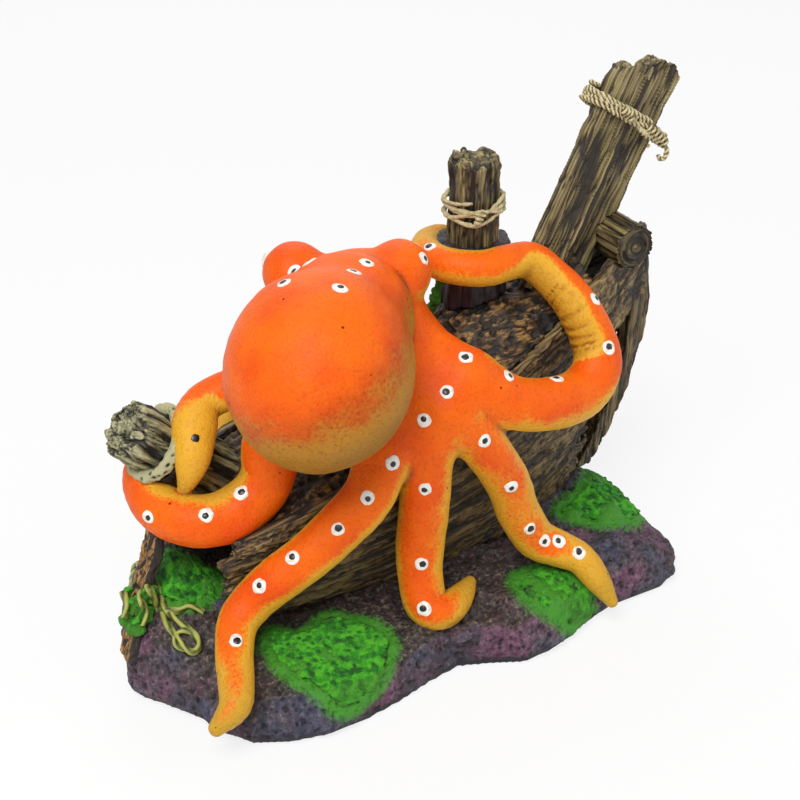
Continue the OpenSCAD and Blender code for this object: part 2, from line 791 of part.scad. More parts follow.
// The ornament's reach to each side, and the shift that centres it
left_reach = rock_place([-0.49, 0])[0];
right_reach = side_timber_foot[0] + side_timber_reach * lean_way(side_lean)[0] + side_timber_width / 4;
front_reach = min(
    -0.5 * base_depth,
    mantle_centre[1] - norm([
        mantle_width / 2 * mantle_side[1],
        mantle_width / 2 * cross(mantle_way, mantle_side)[1],
        mantle_length / 2 * mantle_way[1]
    ])
);
origin_shift = [-(left_reach + right_reach) / 2, -(front_reach + 0.5 * base_depth) / 2, 0];

// What the arms rest against
module wreck_solid() {
    rock_solid();
    hull_solid();
    deck_solid();
    stump_solid();
    bollard_solid();
    bollard_left_solid();
    collar_left_solid();
    end_plank_solid();
    stem_solid();
}

module head_solid() {
    hull() {
        ball(head_centre, head_radius);
        ball(web_centre, web_radius);
    }
    for (mound = [left_mound_centre, right_mound_centre])
        hull() {
            ball(mound, eye_mound_diameter / 2);
            ball(mix(mound, head_centre, 0.5), eye_mound_diameter / 2);
        }
    for (i = [0 : 7])
        hull() {
            ball(web_centre, web_radius * 0.8);
            ball(arm_route(i)[arm_steps], arm_radii(i)[arm_steps] * web_grip_share);
        }
}

module head() {
    color("#FF6A1F")
        fitted() {
            head_solid();
            wreck_solid();
        }
}

module mantle_solid() {
    hull() {
        translate(mantle_centre)
            multmatrix(bulb_matrix())
                sphere(r = 1, $fn = mantle_sides);
        ball(mix(head_centre, mantle_centre, 0.3), head_radius * 0.8);
    }
}

// Turns and stretches a unit ball into the mantle's bulb
function bulb_matrix() =
    let(up = cross(mantle_way, mantle_side), half = mantle_width / 2, reach = mantle_length / 2)
    [for (row = [0 : 2]) [half * mantle_side[row], half * up[row], reach * mantle_way[row], 0]];

module mantle() {
    color("#FF6A1F")
        fitted() {
            mantle_solid();
            head_solid();
            wreck_solid();
        }
}

module arm(i) {
    color("#FF6A1F")
        fitted() {
            arm_solid(i);
            head_solid();
            mantle_solid();
            wreck_solid();
            if (i == 0) left_rope();
            for (j = [0 : 1 : i - 1]) arm_solid(j);
        }
}

// Eyes, on the mounds' outer sides
eye_way_left = unit([-0.45, 0.82, 0.3]);
eye_way_right = unit([0.82, 0.5, 0.3]);

module eye(mound, way) {
    color("#F2EFE6")
        fitted() {
            ball(mound + (eye_mound_diameter / 2 - eye_diameter / 5) * way, eye_diameter / 2);
            head_solid();
            mantle_solid();
        }
}

module eye_left() {
    eye(left_mound_centre, eye_way_left);
}

module eye_right() {
    eye(right_mound_centre, eye_way_right);
}

// Spots: arm number, share of the way along it, and the way it faces
viewer_way = unit([-0.43, -0.75, 0.5]);
spot_shares = [
    [0, 0.64, -20], [1, 0.68, 0], [1, 0.56, 35], [1, 0.385, 34],
    [2, 0.13, -25], [2, 0.19, 0], [2, 0.27, 5], [2, 0.39, 25], [2, 0.49, 20], [2, 0.73, -10],
    [3, 0.11, -15], [3, 0.21, 0], [3, 0.43, -5], [3, 0.64, 10],
    [4, 0.18, -10], [4, 0.3, 0], [4, 0.45, -5], [4, 0.53, -15], [4, 0.66, -25], [4, 0.75, -20],
    [5, 0.06, 45], [5, 0.07, -45], [5, 0.105, -60], [5, 0.18, -75], [5, 0.32, 15], [5, 0.39, 25], [5, 0.8, 35]
];
mantle_spot_shares = [[0.19, 0.77], [0.34, 0.83], [0.46, 0.86], [-0.42, 0.72], [-0.28, 0.87], [-0.1, 0.95]];

function spot_on_arm(spot) =
    let(route = arm_route(spot[0]), radii = arm_radii(spot[0]), ahead = headings(route),
        place = spot[1] * (len(route) - 1), i = floor(place), part = place - i,
        along = unit(mix(ahead[i], ahead[i + 1], part)),
        out = across(viewer_way, along),
        side = cross(along, out),
        way = cos(spot[2]) * out + sin(spot[2]) * side)
    [mix(route[i], route[i + 1], part) + mix(radii[i], radii[i + 1], part) * way, way];

function spot_on_mantle(share) =
    let(up = unit([0.25, 0.43, 0.87]), right = unit([0.87, -0.5, 0]),
        flat = share[0] * right + share[1] * up,
        way = unit(flat + sqrt(max(0.04, 1 - flat * flat)) * viewer_way))
    [mantle_centre + bulb_reach(way) * way, way];
function bulb_reach(way) =
    let(up = cross(mantle_way, mantle_side), half = mantle_width / 2, reach = mantle_length / 2)
    1 / norm([way * mantle_side / half, way * up / half, way * mantle_way / reach]);

spots = concat(
    [for (spot = spot_shares) spot_on_arm(spot)],
    [for (share = mantle_spot_shares) spot_on_mantle(share)]
);

module disc(spot, diameter, low, high, sides) {
    side = across([0.1, 0.2, 0.97], spot[1]);
    route = [spot[0] + low * spot[1], spot[0] + high * spot[1]];
    tube(route, [diameter / 2, diameter * 0.46], sides, side);
}

module skin_solid() {
    head_solid();
    mantle_solid();
    for (i = [0 : 7]) arm_solid(i);
}

module spots_white() {
    color("#F4F2EC")
        fitted() {
            for (spot = spots) disc(spot, spot_diameter, -overrun, spot_height, spot_sides);
            skin_solid();
            wreck_solid();
        }
}

module spots_black() {
    color("#151313")
        placed()
            for (spot = spots) disc(spot, pupil_diameter, spot_height, 1.5 * spot_height, pupil_sides);
}

// Moss pads: the rock's own surface lifted by the moss, inside an outline
moss_outline_shares = [
    [[-0.32, -0.21], [-0.27, -0.25], [-0.22, -0.22], [-0.165, -0.3], [-0.175, -0.4], [-0.22, -0.46],
     [-0.28, -0.48], [-0.315, -0.42], [-0.34, -0.3]],
    [[-0.455, 0.12], [-0.42, 0.08], [-0.36, 0.03], [-0.38, -0.05], [-0.43, -0.07], [-0.46, -0.03],
     [-0.464, 0.05]],
    [[0.11, -0.34], [0.16, -0.3], [0.2, -0.36], [0.215, -0.42], [0.19, -0.475], [0.13, -0.46],
     [0.09, -0.41]],
    [[0.28, -0.14], [0.36, -0.1], [0.41, 0], [0.42, 0.14], [0.47, 0.12], [0.46, -0.06], [0.43, -0.2],
     [0.35, -0.24]]
];

module moss_skin(i) {
    outline = [for (share = moss_outline_shares[i]) [share[0] * base_length, share[1] * base_depth]];
    intersection() {
        rock_solid(moss_thickness);
        linear_extrude(height = rail_low) polygon(smooth_loop(outline, 3));
    }
}

module moss_pad(i) {
    color("#2F8F1E")
        fitted() {
            moss_skin(i);
            rock_solid();
            hull_solid();
            stem_solid();
            end_plank_solid();
            for (j = [0 : 7]) arm_solid(j);
        }
}

module moss_front() {
    moss_pad(0);
}

module moss_left() {
    moss_pad(1);
}

module moss_right_front() {
    moss_pad(2);
}

module moss_right_rear() {
    moss_pad(3);
}

// A tuft on the deck mound beside the rear arm
tuft_share = 0.55;
tuft_x = 0.085 * base_length;
tuft_radius = 1.6 * moss_thickness;

module moss_deck() {
    color("#2F8F1E")
        fitted() {
            ball(
                [tuft_x, hull_centre + 0.28 * deck_half(tuft_share), deck_height(hull_station(tuft_x), 0.28)],
                tuft_radius
            );
            deck_solid();
            stump_solid();
            for (j = [5, 6]) arm_solid(j);
        }
}

// Vine: two strands twisted together over the rock's left shoulder
vine_shares = [[-0.495, -0.06], [-0.49, -0.1], [-0.478, -0.145], [-0.46, -0.19]];
vine_turn = 540;
vine_steps = 5;
vine_lift_share = 0.4;

function vine_strand(phase) =
    let(base = smooth([
            for (share = vine_shares)
                let(x = share[0] * base_length, y = share[1] * base_depth)
                [x, y, rock_top(x, y) + vine_lift_share * vine_diameter]
        ], vine_steps),
        ahead = headings(base), side = carried_sides(ahead, [0, 0, 1]))
    [for (i = [0 : len(base) - 1])
        let(turn = phase + vine_turn * i / (len(base) - 1))
        base[i] + vine_diameter * 0.62 * (cos(turn) * side[i] + sin(turn) * cross(ahead[i], side[i]))];

module strand(route) {
    tube(route, [for (p = route) vine_diameter / 2], rope_sides, [0, 1, 0]);
}

module vine() {
    color("#9A9A45")
        fitted() {
            for (phase = [0, 180])
                strand(vine_strand(phase));
            rock_solid();
            end_plank_solid();
            moss_skin(1);
        }
}

// Loose stone chips, set into the rock
pebble_shares = [[-0.455, -0.42, 0.22], [-0.38, -0.09, 0.3], [-0.05, -0.44, 0.2]];

module pebbles() {
    color("#5A4E52")
        fitted() {
            for (share = pebble_shares) {
                x = share[0] * base_length;
                y = share[1] * base_depth;
                translate([x, y, rock_top(x, y) * 0.9])
                    scale([1.5, 1, 0.7])
                        sphere(r = share[2] * rock_height, $fn = pebble_sides);
            }
            rock_solid();
            hull_solid();
            for (j = [0 : 7]) arm_solid(j);
        }
}

rock_base();
moss_front();
moss_left();
moss_right_front();
moss_right_rear();
moss_deck();
vine();
pebbles();
stem_post();
stem_log();
deck();
end_plank();
for (i = [0 : 5]) {
    strake(i, -1);
    strake(i, 1);
}
bollard_stump();
bollard_right();
bollard_left();
collar_left();
timber_wide();
timber_side();
lashing_right();
lashing_left();
lashing_timbers();
head();
mantle();
eye_left();
eye_right();
for (i = [0 : 7]) {
    arm(i);
}
spots_white();
spots_black();
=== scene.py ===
"""Aquarium ornament: a painted resin octopus draped over the bow of a sunken wooden boat on a mossy rock."""
import itertools
import json
import logging
import math
from dataclasses import dataclass
from enum import Enum

import bpy
import numpy as np
from mathutils import Matrix, Vector
from mathutils.bvhtree import BVHTree

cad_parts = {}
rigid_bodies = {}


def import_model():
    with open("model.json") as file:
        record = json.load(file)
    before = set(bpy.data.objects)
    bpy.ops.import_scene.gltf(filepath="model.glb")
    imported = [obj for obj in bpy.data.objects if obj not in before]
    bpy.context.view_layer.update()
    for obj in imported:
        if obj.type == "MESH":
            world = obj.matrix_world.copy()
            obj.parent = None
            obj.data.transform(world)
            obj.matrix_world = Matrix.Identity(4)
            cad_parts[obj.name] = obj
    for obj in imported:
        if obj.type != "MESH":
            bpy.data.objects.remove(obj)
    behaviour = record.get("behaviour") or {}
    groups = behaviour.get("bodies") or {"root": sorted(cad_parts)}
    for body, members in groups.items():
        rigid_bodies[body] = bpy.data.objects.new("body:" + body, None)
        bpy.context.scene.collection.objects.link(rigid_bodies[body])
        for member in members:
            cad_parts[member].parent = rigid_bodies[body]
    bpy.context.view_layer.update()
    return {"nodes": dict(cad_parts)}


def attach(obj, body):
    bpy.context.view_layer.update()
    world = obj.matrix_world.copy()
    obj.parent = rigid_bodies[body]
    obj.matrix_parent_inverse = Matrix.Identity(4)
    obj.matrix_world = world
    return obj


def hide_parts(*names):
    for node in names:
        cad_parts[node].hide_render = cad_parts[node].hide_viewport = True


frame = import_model()
LOG = logging.getLogger("ornament")

Colour = tuple[float, float, float, float]
Place = tuple[float, float, float]
Array = np.ndarray
Piece = bpy.types.Object
Paint = bpy.types.Material
Socket = bpy.types.NodeSocket

MM = 0.001
# The rock's own frame is moved by this much so that the whole ornament stands over the origin
SHIFT = np.array([-1.62794, 0.681614, 0.0])
# The factors and the 32 bits that scramble a cell's numbers into a random one
CELL_FACTORS = np.array([73856093, 19349663, 83492791])
SEED_FACTOR, MIX_FACTOR, WORD = 7919, 1274126177, 0xFFFFFFFF
# The gap between a tube's rings in millimetres, and the points of its section
RING_GAP = 0.4
TUBE_SIDES = 12
WHITE = (1, 1, 1, 1)


# Numbers, curves and noise, all in millimetres


def linear(code: str) -> Colour:
    """Turns an sRGB hex colour into the linear colour that a shader takes.

    Args:
        code: The colour as six hex digits after a hash.

    Returns:
        Linear red, green and blue, and an alpha of 1.
    """
    parts = [int(code[i:i + 2], 16) / 255 for i in (1, 3, 5)]
    return (*[p / 12.92 if p <= 0.04045 else ((p + 0.055) / 1.055) ** 2.4 for p in parts], 1.0)


def per(size: float) -> float:
    """The texture scale at which a pattern's features are about size millimetres across."""
    return 1 / (size * MM)


def unit(vector: Array) -> Array:
    """Vectors of length 1 along the last axis."""
    return vector / np.maximum(np.linalg.norm(vector, axis=-1, keepdims=True), 1e-9)


def eased(value: Array, low: float, high: float) -> Array:
    """A smooth step from 0 at low to 1 at high."""
    share = np.clip((value - low) / (high - low), 0, 1)
    return share * share * (3 - 2 * share)


def lattice(cells: Array, seed: int) -> Array:
    """A steady random number from -1 to 1 for each whole-numbered cell."""
    mixed = (np.bitwise_xor.reduce(cells.astype(np.int64) * CELL_FACTORS,
                                   axis=-1) ^ (seed * SEED_FACTOR)) & WORD
    mixed = ((mixed ^ (mixed >> 13)) * MIX_FACTOR) & WORD
    return ((mixed ^ (mixed >> 16)) & 0xFFFF) / 32767.5 - 1


def noise(points: Array, seed: int) -> Array:
    """Smooth noise from -1 to 1 whose lumps are about one unit across."""
    cell = np.floor(points)
    part = points - cell
    part = part * part * (3 - 2 * part)
    total = np.zeros(len(points))
    for corner in itertools.product((0, 1), repeat=3):
        total += np.prod(np.where(corner, part, 1 - part), axis=1) * lattice(cell + corner, seed)
    return total


def layered(points: Array, seed: int, layers: int) -> Array:
    """Noise with finer and weaker layers on top."""
    return sum(noise(points * 2 ** i, seed + i) / 2 ** i for i in range(layers))


def pitted(points: Array, gap: float, reach: float, wall: float, seed: int) -> Array:
    """How deep points are in scattered round pits.

    Args:
        points: Places in millimetres.
        gap: The pits' spacing in millimetres.
        reach: A pit's radius, as a share of the gap.
        wall: The width of its sloping wall, as a share of the gap.
        seed: Which of the random patterns to take.

    Returns:
        0 outside the pits and 1 in their middles.
    """
    places = points / gap
    cell = np.floor(places)
    best = np.full(len(places), 9.0)
    for offset in itertools.product((-1, 0, 1), repeat=3):
        at = cell + offset
        centre = at + 0.5 + 0.4 * np.stack([lattice(at, seed + k) for k in range(3)], axis=1)
        best = np.minimum(best, np.linalg.norm(places - centre, axis=1))
    return eased(reach - best, 0, wall)


def smooth_route(points: Array, steps: int) -> Array:
    """Points of a smooth open curve through some points, with steps to each span."""
    padded = np.vstack([points[:1], points, points[-1:]])
    rows = []
    for i in range(len(points) - 1):
        a, b, c, d = padded[i:i + 4]
        for t in np.arange(steps) / steps:
            rows.append(b + (c - a) * t / 2 + (2 * a - 5 * b + 4 * c - d) * t ** 2 / 2
                        + (3 * b - a - 3 * c + d) * t ** 3 / 2)
    return np.array(rows + [points[-1]])


def run_of(route: Array) -> Array:
    """The length of a route up to each of its points."""
    return np.concatenate([[0], np.cumsum(np.linalg.norm(np.diff(route, axis=0), axis=1))])


def even_route(points: Array, gap: float = RING_GAP) -> Array:
    """The same route with its points a steady gap apart."""
    run = run_of(points)
    places = np.linspace(0, run[-1], max(2, int(run[-1] / gap)))
    return np.stack([np.interp(places, run, points[:, k]) for k in range(points.shape[1])], axis=1)


# Meshes, edited as by hand


def choose(piece: Piece) -> None:
    """Makes one object the only selected one and the active one."""
    for other in bpy.context.selected_objects:
        other.select_set(False)
    piece.select_set(True)
    bpy.context.view_layer.objects.active = piece


def edit(piece: Piece, *steps: tuple) -> None:
    """Runs edit mode operators, each on the whole mesh.

    Args:
        piece: The mesh object.
        steps: Pairs of an operator and its settings.
    """
    choose(piece)
    bpy.ops.object.mode_set(mode="EDIT")
    for operator, settings in steps:
        bpy.ops.mesh.select_all(action="SELECT")
        operator(**settings)
    bpy.ops.object.mode_set(mode="OBJECT")


def added(name: str, data: bpy.types.ID) -> Piece:
    """A new object at the origin, in the scene."""
    piece = bpy.data.objects.new(name, data)
    bpy.context.scene.collection.objects.link(piece)
    return piece


def copy_of(node: str) -> Piece:
    """A copy of a CAD node's mesh, with its loose triangles joined up.

    Args:
        node: The CAD node.

    Returns:
        The new mesh object, at the origin, under the node's name.
    """
    piece = added(node.capitalize(), frame["nodes"][node].data.copy())
    piece.data.materials.clear()
    edit(piece, (bpy.ops.mesh.remove_doubles, {"threshold": 1e-6}))
    return piece


def joined(pieces: list[Piece], name: str) -> Piece:
    """Several mesh objects joined into one."""
    choose(pieces[0])
    for piece in pieces[1:]:
        piece.select_set(True)
    bpy.ops.object.join()
    pieces[0].name = name
    return pieces[0]


def remeshed(piece: Piece, voxel: float) -> Piece:
    """Covers a closed shape with an even skin of small quads.

    Args:
        piece: The mesh object.
        voxel: The quads' size in millimetres.

    Returns:
        The same object.
    """
    choose(piece)
    skin = piece.modifiers.new("even skin", "REMESH")
    skin.mode = "VOXEL"
    skin.voxel_size = voxel * MM
    skin.use_smooth_shade = True
    bpy.ops.object.modifier_apply(modifier=skin.name)
    return piece


def skin_of(node: str, voxel: float) -> Piece:
    """A copy of a CAD node under an even skin of quads, voxel millimetres wide."""
    return remeshed(copy_of(node), voxel)


def sphere(segments: int, rings: int, radius: float = 1.0, centre: Array | Place = (0, 0, 0)) -> Piece:
    """A ball, by its radius and its centre in metres."""
    bpy.ops.mesh.primitive_uv_sphere_add(segments=segments, ring_count=rings, radius=radius, location=centre)
    ball = bpy.context.object
    bpy.ops.object.transform_apply(location=True, rotation=True, scale=True)
    return ball


def read(rows: bpy.types.bpy_prop_collection, name: str, width: int = 3) -> Array:
    """One property of each of a mesh's elements, as rows of numbers."""
    flat = np.empty(len(rows) * width)
    rows.foreach_get(name, flat)
    return flat.reshape(-1, width)


def points_of(piece: Piece) -> Array:
    """A mesh's vertices in millimetres."""
    return read(piece.data.vertices, "co") / MM


def normals_of(piece: Piece) -> Array:
    """A mesh's vertex normals."""
    return read(piece.data.vertices, "normal")


def move_to(piece: Piece, points: Array) -> None:
    """Puts a mesh's vertices at places in millimetres."""
    piece.data.vertices.foreach_set("co", (points * MM).ravel())
    piece.data.update()


def push(piece: Piece, lift: Array) -> None:
    """Moves a mesh's vertices out along their normals, each by its own lift in millimetres."""
    move_to(piece, points_of(piece) + normals_of(piece) * lift[:, None])


def store(piece: Piece, name: str, values: Array) -> None:
    """Keeps a number or a vector on each vertex, for the materials to read."""
    kind, width = ("FLOAT", "value") if values.ndim == 1 else ("FLOAT_VECTOR", "vector")
    held = piece.data.attributes.get(name) or piece.data.attributes.new(name, kind, "POINT")
    held.data.foreach_set(width, values.astype(np.float32).ravel())


def tree_of(piece: Piece) -> BVHTree:
    """A search tree over a mesh, in metres."""
    mesh = piece.data
    return BVHTree.FromPolygons([v.co for v in mesh.vertices], [tuple(p.vertices) for p in mesh.polygons])


def facing_way(way: Array | Vector) -> Matrix:
    """The turn that points the Z axis some way."""
    return Vector(way).to_track_quat("Z", "Y").to_matrix()


def swept(name: str, routes: list[Array], radii: list[Array], lobes: int = 0, lay: float = 1.0) -> Piece:
    """Tubes along routes, plain or laid like rope, as one closed mesh.

    Args:
        name: The object's name.
        routes: The points of each route, in millimetres.
        radii: The tube's radius at each point.
        lobes: How many strands the tube's section shows, or 0 for a round one.
        lay: The length in which a strand goes once round, in millimetres.

    Returns:
        The mesh object, with how far out each vertex stands kept as "lay".
    """
    turns = np.arange(TUBE_SIDES) * 2 * math.pi / TUBE_SIDES
    reach = 1 + 0.16 * np.cos(lobes * turns) if lobes else np.ones(TUBE_SIDES)
    section = bpy.data.curves.new("section", "CURVE")
    ring = section.splines.new("POLY")
    ring.points.add(TUBE_SIDES - 1)
    for point, turn, far in zip(ring.points, turns, reach):
        point.co = (far * math.cos(turn), far * math.sin(turn), 0, 1)
    ring.use_cyclic_u = True
    profile = added("section", section)
    curve = bpy.data.curves.new(name, "CURVE")
    curve.dimensions = "3D"
    curve.bevel_mode = "OBJECT"
    curve.bevel_object = profile
    curve.use_fill_caps = True
    for route, radius in zip(routes, radii):
        spline = curve.splines.new("POLY")
        spline.points.add(len(route) - 1)
        spline.points.foreach_set("co", np.column_stack([route * MM, np.ones(len(route))]).ravel())
        for point, far, along in zip(spline.points, radius, run_of(route)):
            point.radius = far * MM
            point.tilt = 2 * math.pi * along / lay if lobes else 0.0
    piece = added(name, curve)
    choose(piece)
    bpy.ops.object.convert(target="MESH")
    bpy.data.objects.remove(profile)
    stand = 0.5 + 0.5 * np.cos(lobes * turns) if lobes else np.full(TUBE_SIDES, 0.55)
    store(piece, "lay", np.resize(stand, len(piece.data.vertices)))
    edit(piece, (bpy.ops.mesh.normals_make_consistent, {"inside": False}))
    return piece


def finished(piece: Piece, finish: Paint | None, slot: str, *nodes: str) -> None:
    """Dresses a piece, puts it on the ornament and has it stand for its CAD nodes.

    Args:
        piece: The mesh object, at its place.
        finish: Its material, or none where it has been dressed face by face.
        slot: The record's material slot; not used.
        nodes: The CAD nodes that it stands for.
    """
    if finish:
        piece.data.materials.clear()
        piece.data.materials.append(finish)
    choose(piece)
    bpy.ops.object.shade_smooth()
    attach(piece, "root")
    if nodes:
        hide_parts(*nodes)
    LOG.info("%s: %d faces for %s", piece.name, len(piece.data.polygons), ", ".join(nodes) or "no node")


# Finishes


def add_node(tree: bpy.types.NodeTree, kind: str, values: dict | None = None,
             links: dict | None = None, **settings: object) -> bpy.types.Node:
    """Adds a shader node.

    Args:
        tree: The material's node tree.
        kind: The node's type.
        values: Values for its input sockets.
        links: The output socket that each input socket is linked to.
        settings: The node's own settings.

    Returns:
        The new node.
    """
    node = tree.nodes.new(kind)
    for key, value in settings.items():
        setattr(node, key, value)
    for key, value in (values or {}).items():
        node.inputs[key].default_value = value
    for key, source in (links or {}).items():
        tree.links.new(source, node.inputs[key])
    return node


def shade(node: bpy.types.Node, *stops: tuple[float, str]) -> Socket:
    """Sets a colour ramp's stops and returns its colour socket."""
    ramp = node.color_ramp
    while len(ramp.elements) < len(stops):
        ramp.elements.new(0.5)
    for element, (place, code) in zip(ramp.elements, stops):
        element.position = place
        element.color = linear(code)
    return node.outputs["Color"]


@dataclass(frozen=True)
class Finish:
    """A painted finish on cast resin."""

    name: str
    roughness: float = 0.5
    sheen: float = 0.0
    coat: float = 0.0

    def start(self) -> tuple[Paint, bpy.types.NodeTree, bpy.types.Node, bpy.types.Node]:
        """Starts the material.

        Returns:
            The material, its tree, its main shader and its coordinates.
        """
        material = bpy.data.materials.new(self.name)
        material.use_nodes = True
        tree = material.node_tree
        body = tree.nodes["Principled BSDF"]
        body.inputs["Roughness"].default_value = self.roughness
        body.inputs["IOR"].default_value = 1.5
        body.inputs["Coat Weight"].default_value = self.coat
        body.inputs["Coat Roughness"].default_value = 0.3
        body.inputs["Sheen Weight"].default_value = self.sheen
        return material, tree, body, add_node(tree, "ShaderNodeTexCoord")


@dataclass(frozen=True)
class OctopusPaint(Finish):
    """Airbrushed acrylic on cast polyresin under a satin lacquer: orange above, golden underneath, with
    painted shade that turns the gold to ochre and darkens the creases.
    """

    top: str = "#F96C0A"
    deep: str = "#EE5409"
    gold: str = "#EBAE32"
    # The gold's darker tone: painted shade on the undersides, and the tips' own olive
    ochre: str = "#BF9630"
    # The red brown of the painted shade in the creases and on the undersides, and of the darker dips in the
    # grit
    wash: str = "#75280A"
    grit: float = 0.8
    pore: str = "#4A1804"
    cloud: float = 13.0
    pore_gap: float = 7.5

    def material(self) -> Paint:
        """The octopus's skin."""
        material, tree, body, place = self.start()
        spot = place.outputs["Object"]
        body.inputs["Specular IOR Level"].default_value = 0.16
        cloud = add_node(tree, "ShaderNodeTexNoise", {"Scale": per(self.cloud), "Detail": 3.0},
                         {"Vector": spot})
        grain = add_node(tree, "ShaderNodeTexNoise",
                         {"Scale": per(self.grit), "Detail": 2.0, "Roughness": 0.6}, {"Vector": spot})
        gold, shadow, crease = [add_node(tree, "ShaderNodeAttribute", attribute_name=name).outputs["Fac"]
                                for name in ("gold", "shadow", "crease")]
        flush = add_node(tree, "ShaderNodeMapRange", {"From Min": 0.4, "From Max": 0.7},
                         {"Value": cloud.outputs["Fac"]})
        orange = add_node(tree, "ShaderNodeMix", {6: linear(self.top), 7: linear(self.deep)},
                          {0: flush.outputs[0]}, data_type="RGBA")
        # The shadow share turns the gold to ochre: painted shade on the undersides, and the tips' own olive
        yellow = add_node(tree, "ShaderNodeMix", {6: linear(self.gold), 7: linear(self.ochre)}, {0: shadow},
                          data_type="RGBA")
        # The airbrush leaves a soft, speckled edge between the two colours
        speck = add_node(tree, "ShaderNodeMath", {1: 0.8, 2: -0.4}, {0: grain.outputs["Fac"]},
                         operation="MULTIPLY_ADD")
        mixed = add_node(tree, "ShaderNodeMath", {}, {0: speck.outputs[0], 1: gold}, operation="ADD")
        band = add_node(tree, "ShaderNodeMapRange", {"From Min": 0.12, "From Max": 0.88},
                        {"Value": mixed.outputs[0]}, interpolation_type="SMOOTHSTEP")
        skin = add_node(tree, "ShaderNodeMix", {},
                        {0: band.outputs[0], 6: orange.outputs[2], 7: yellow.outputs[2]}, data_type="RGBA")
        # Painted shade darkens the creases and the undersides, and the dips of the grit are darker too, all
        # in the wash colour
        dips = add_node(tree, "ShaderNodeMapRange", {"From Min": 0.5, "From Max": 0.28, "To Max": 0.22},
                        {"Value": grain.outputs["Fac"]})
        dark = add_node(tree, "ShaderNodeMath", {}, {0: dips.outputs[0], 1: crease}, operation="ADD",
                        use_clamp=True)
        washed = add_node(tree, "ShaderNodeMix", {7: linear(self.wash)},
                          {0: dark.outputs[0], 6: skin.outputs[2]}, data_type="RGBA")
        # A few open air bubbles in the casting show as dark pores
        pore = add_node(tree, "ShaderNodeTexVoronoi", {"Scale": per(self.pore_gap)}, {"Vector": spot})
        hole = add_node(tree, "ShaderNodeMapRange",
                        {"From Min": 0.03, "From Max": 0.055, "To Min": 1.0, "To Max": 0.0},
                        {"Value": pore.outputs["Distance"]})
        final = add_node(tree, "ShaderNodeMix", {7: linear(self.pore)},
                         {0: hole.outputs[0], 6: washed.outputs[2]}, data_type="RGBA")
        tree.links.new(final.outputs[2], body.inputs["Base Color"])
        height = add_node(tree, "ShaderNodeMath", {1: 0.35}, {0: hole.outputs[0]}, operation="MULTIPLY")
        relief = add_node(tree, "ShaderNodeMath", {}, {0: grain.outputs["Fac"], 1: height.outputs[0]},
                          operation="SUBTRACT")
        bump = add_node(tree, "ShaderNodeBump", {"Strength": 0.85, "Distance": 0.4 * MM},
                        {"Height": relief.outputs[0]})
        tree.links.new(bump.outputs[0], body.inputs["Normal"])
        return material


@dataclass(frozen=True)
class Enamel(Finish):
    """Brushed gloss enamel dots: slightly uneven in thickness, so the sheen breaks up."""

    colour: str = "#F6F4EE"
    worn: str = "#DDD6C6"
    dab: float = 1.3

    def material(self) -> Paint:
        """The enamel."""
        material, tree, body, place = self.start()
        dabs = add_node(tree, "ShaderNodeTexNoise", {"Scale": per(self.dab), "Detail": 2.0},
                        {"Vector": place.outputs["Object"]})
        tone = shade(add_node(tree, "ShaderNodeValToRGB", {}, {"Fac": dabs.outputs["Fac"]}), (0.3, self.worn),
                     (0.5, self.colour))
        tree.links.new(tone, body.inputs["Base Color"])
        bump = add_node(tree, "ShaderNodeBump", {"Strength": 0.4, "Distance": 0.1 * MM},
                        {"Height": dabs.outputs["Fac"]})
        tree.links.new(bump.outputs[0], body.inputs["Normal"])
        return material


@dataclass(frozen=True)
class WeatheredWood(Finish):
    """Resin cast from split timber, washed dark brown in the grooves and drybrushed tan on the ridges."""

    groove: str = "#20170E"
    flank: str = "#5E4A2C"
    ridge: str = "#A08A58"
    wash: str = "#6B6A42"
    wash_share: float = 0.45
    wash_size: float = 16.0
    grain: float = 0.85
    grain_run: float = 15.0

    def material(self) -> Paint:
        """The wood."""
        material, tree, body, place = self.start()
        along = add_node(tree, "ShaderNodeAttribute", attribute_name="grain")
        # The groove share also carries the painted shade that darken puts on
        cut = add_node(tree, "ShaderNodeAttribute", attribute_name="groove")
        fine = add_node(tree, "ShaderNodeMapping",
                        {"Scale": (1 / self.grain_run, 1 / self.grain, 1 / self.grain)},
                        {"Vector": along.outputs["Vector"]})
        broad = add_node(tree, "ShaderNodeMapping",
                         {"Scale": (0.4 / self.grain_run, 0.3 / self.grain, 0.3 / self.grain)},
                         {"Vector": along.outputs["Vector"]})
        lines = add_node(tree, "ShaderNodeTexNoise", {"Scale": 1.0, "Detail": 4.0, "Roughness": 0.65},
                         {"Vector": fine.outputs[0]})
        bands = add_node(tree, "ShaderNodeTexNoise", {"Scale": 1.0, "Detail": 3.0},
                         {"Vector": broad.outputs[0]})
        level = add_node(tree, "ShaderNodeMix", {0: 0.35}, {2: lines.outputs["Fac"], 3: bands.outputs["Fac"]},
                         data_type="FLOAT")
        sunk = add_node(tree, "ShaderNodeMath", {1: -0.3}, {0: cut.outputs["Fac"], 2: level.outputs[0]},
                        operation="MULTIPLY_ADD")
        tone = shade(add_node(tree, "ShaderNodeValToRGB", {}, {"Fac": sunk.outputs[0]}),
                     (0.34, self.groove), (0.46, self.flank), (0.62, self.ridge))
        # A thin green wash lies in patches, from a noise
        damp = add_node(tree, "ShaderNodeTexNoise", {"Scale": per(self.wash_size), "Detail": 3.0},
                        {"Vector": place.outputs["Object"]})
        film = add_node(tree, "ShaderNodeMapRange",
                        {"From Min": 0.45, "From Max": 0.7, "To Max": self.wash_share},
                        {"Value": damp.outputs["Fac"]})
        painted = add_node(tree, "ShaderNodeMix", {7: linear(self.wash)}, {0: film.outputs[0], 6: tone},
                           data_type="RGBA", blend_type="SOFT_LIGHT")
        tree.links.new(painted.outputs[2], body.inputs["Base Color"])
        bump = add_node(tree, "ShaderNodeBump", {"Strength": 0.8, "Distance": 0.5 * MM},
                        {"Height": sunk.outputs[0]})
        tree.links.new(bump.outputs[0], body.inputs["Normal"])
        return material


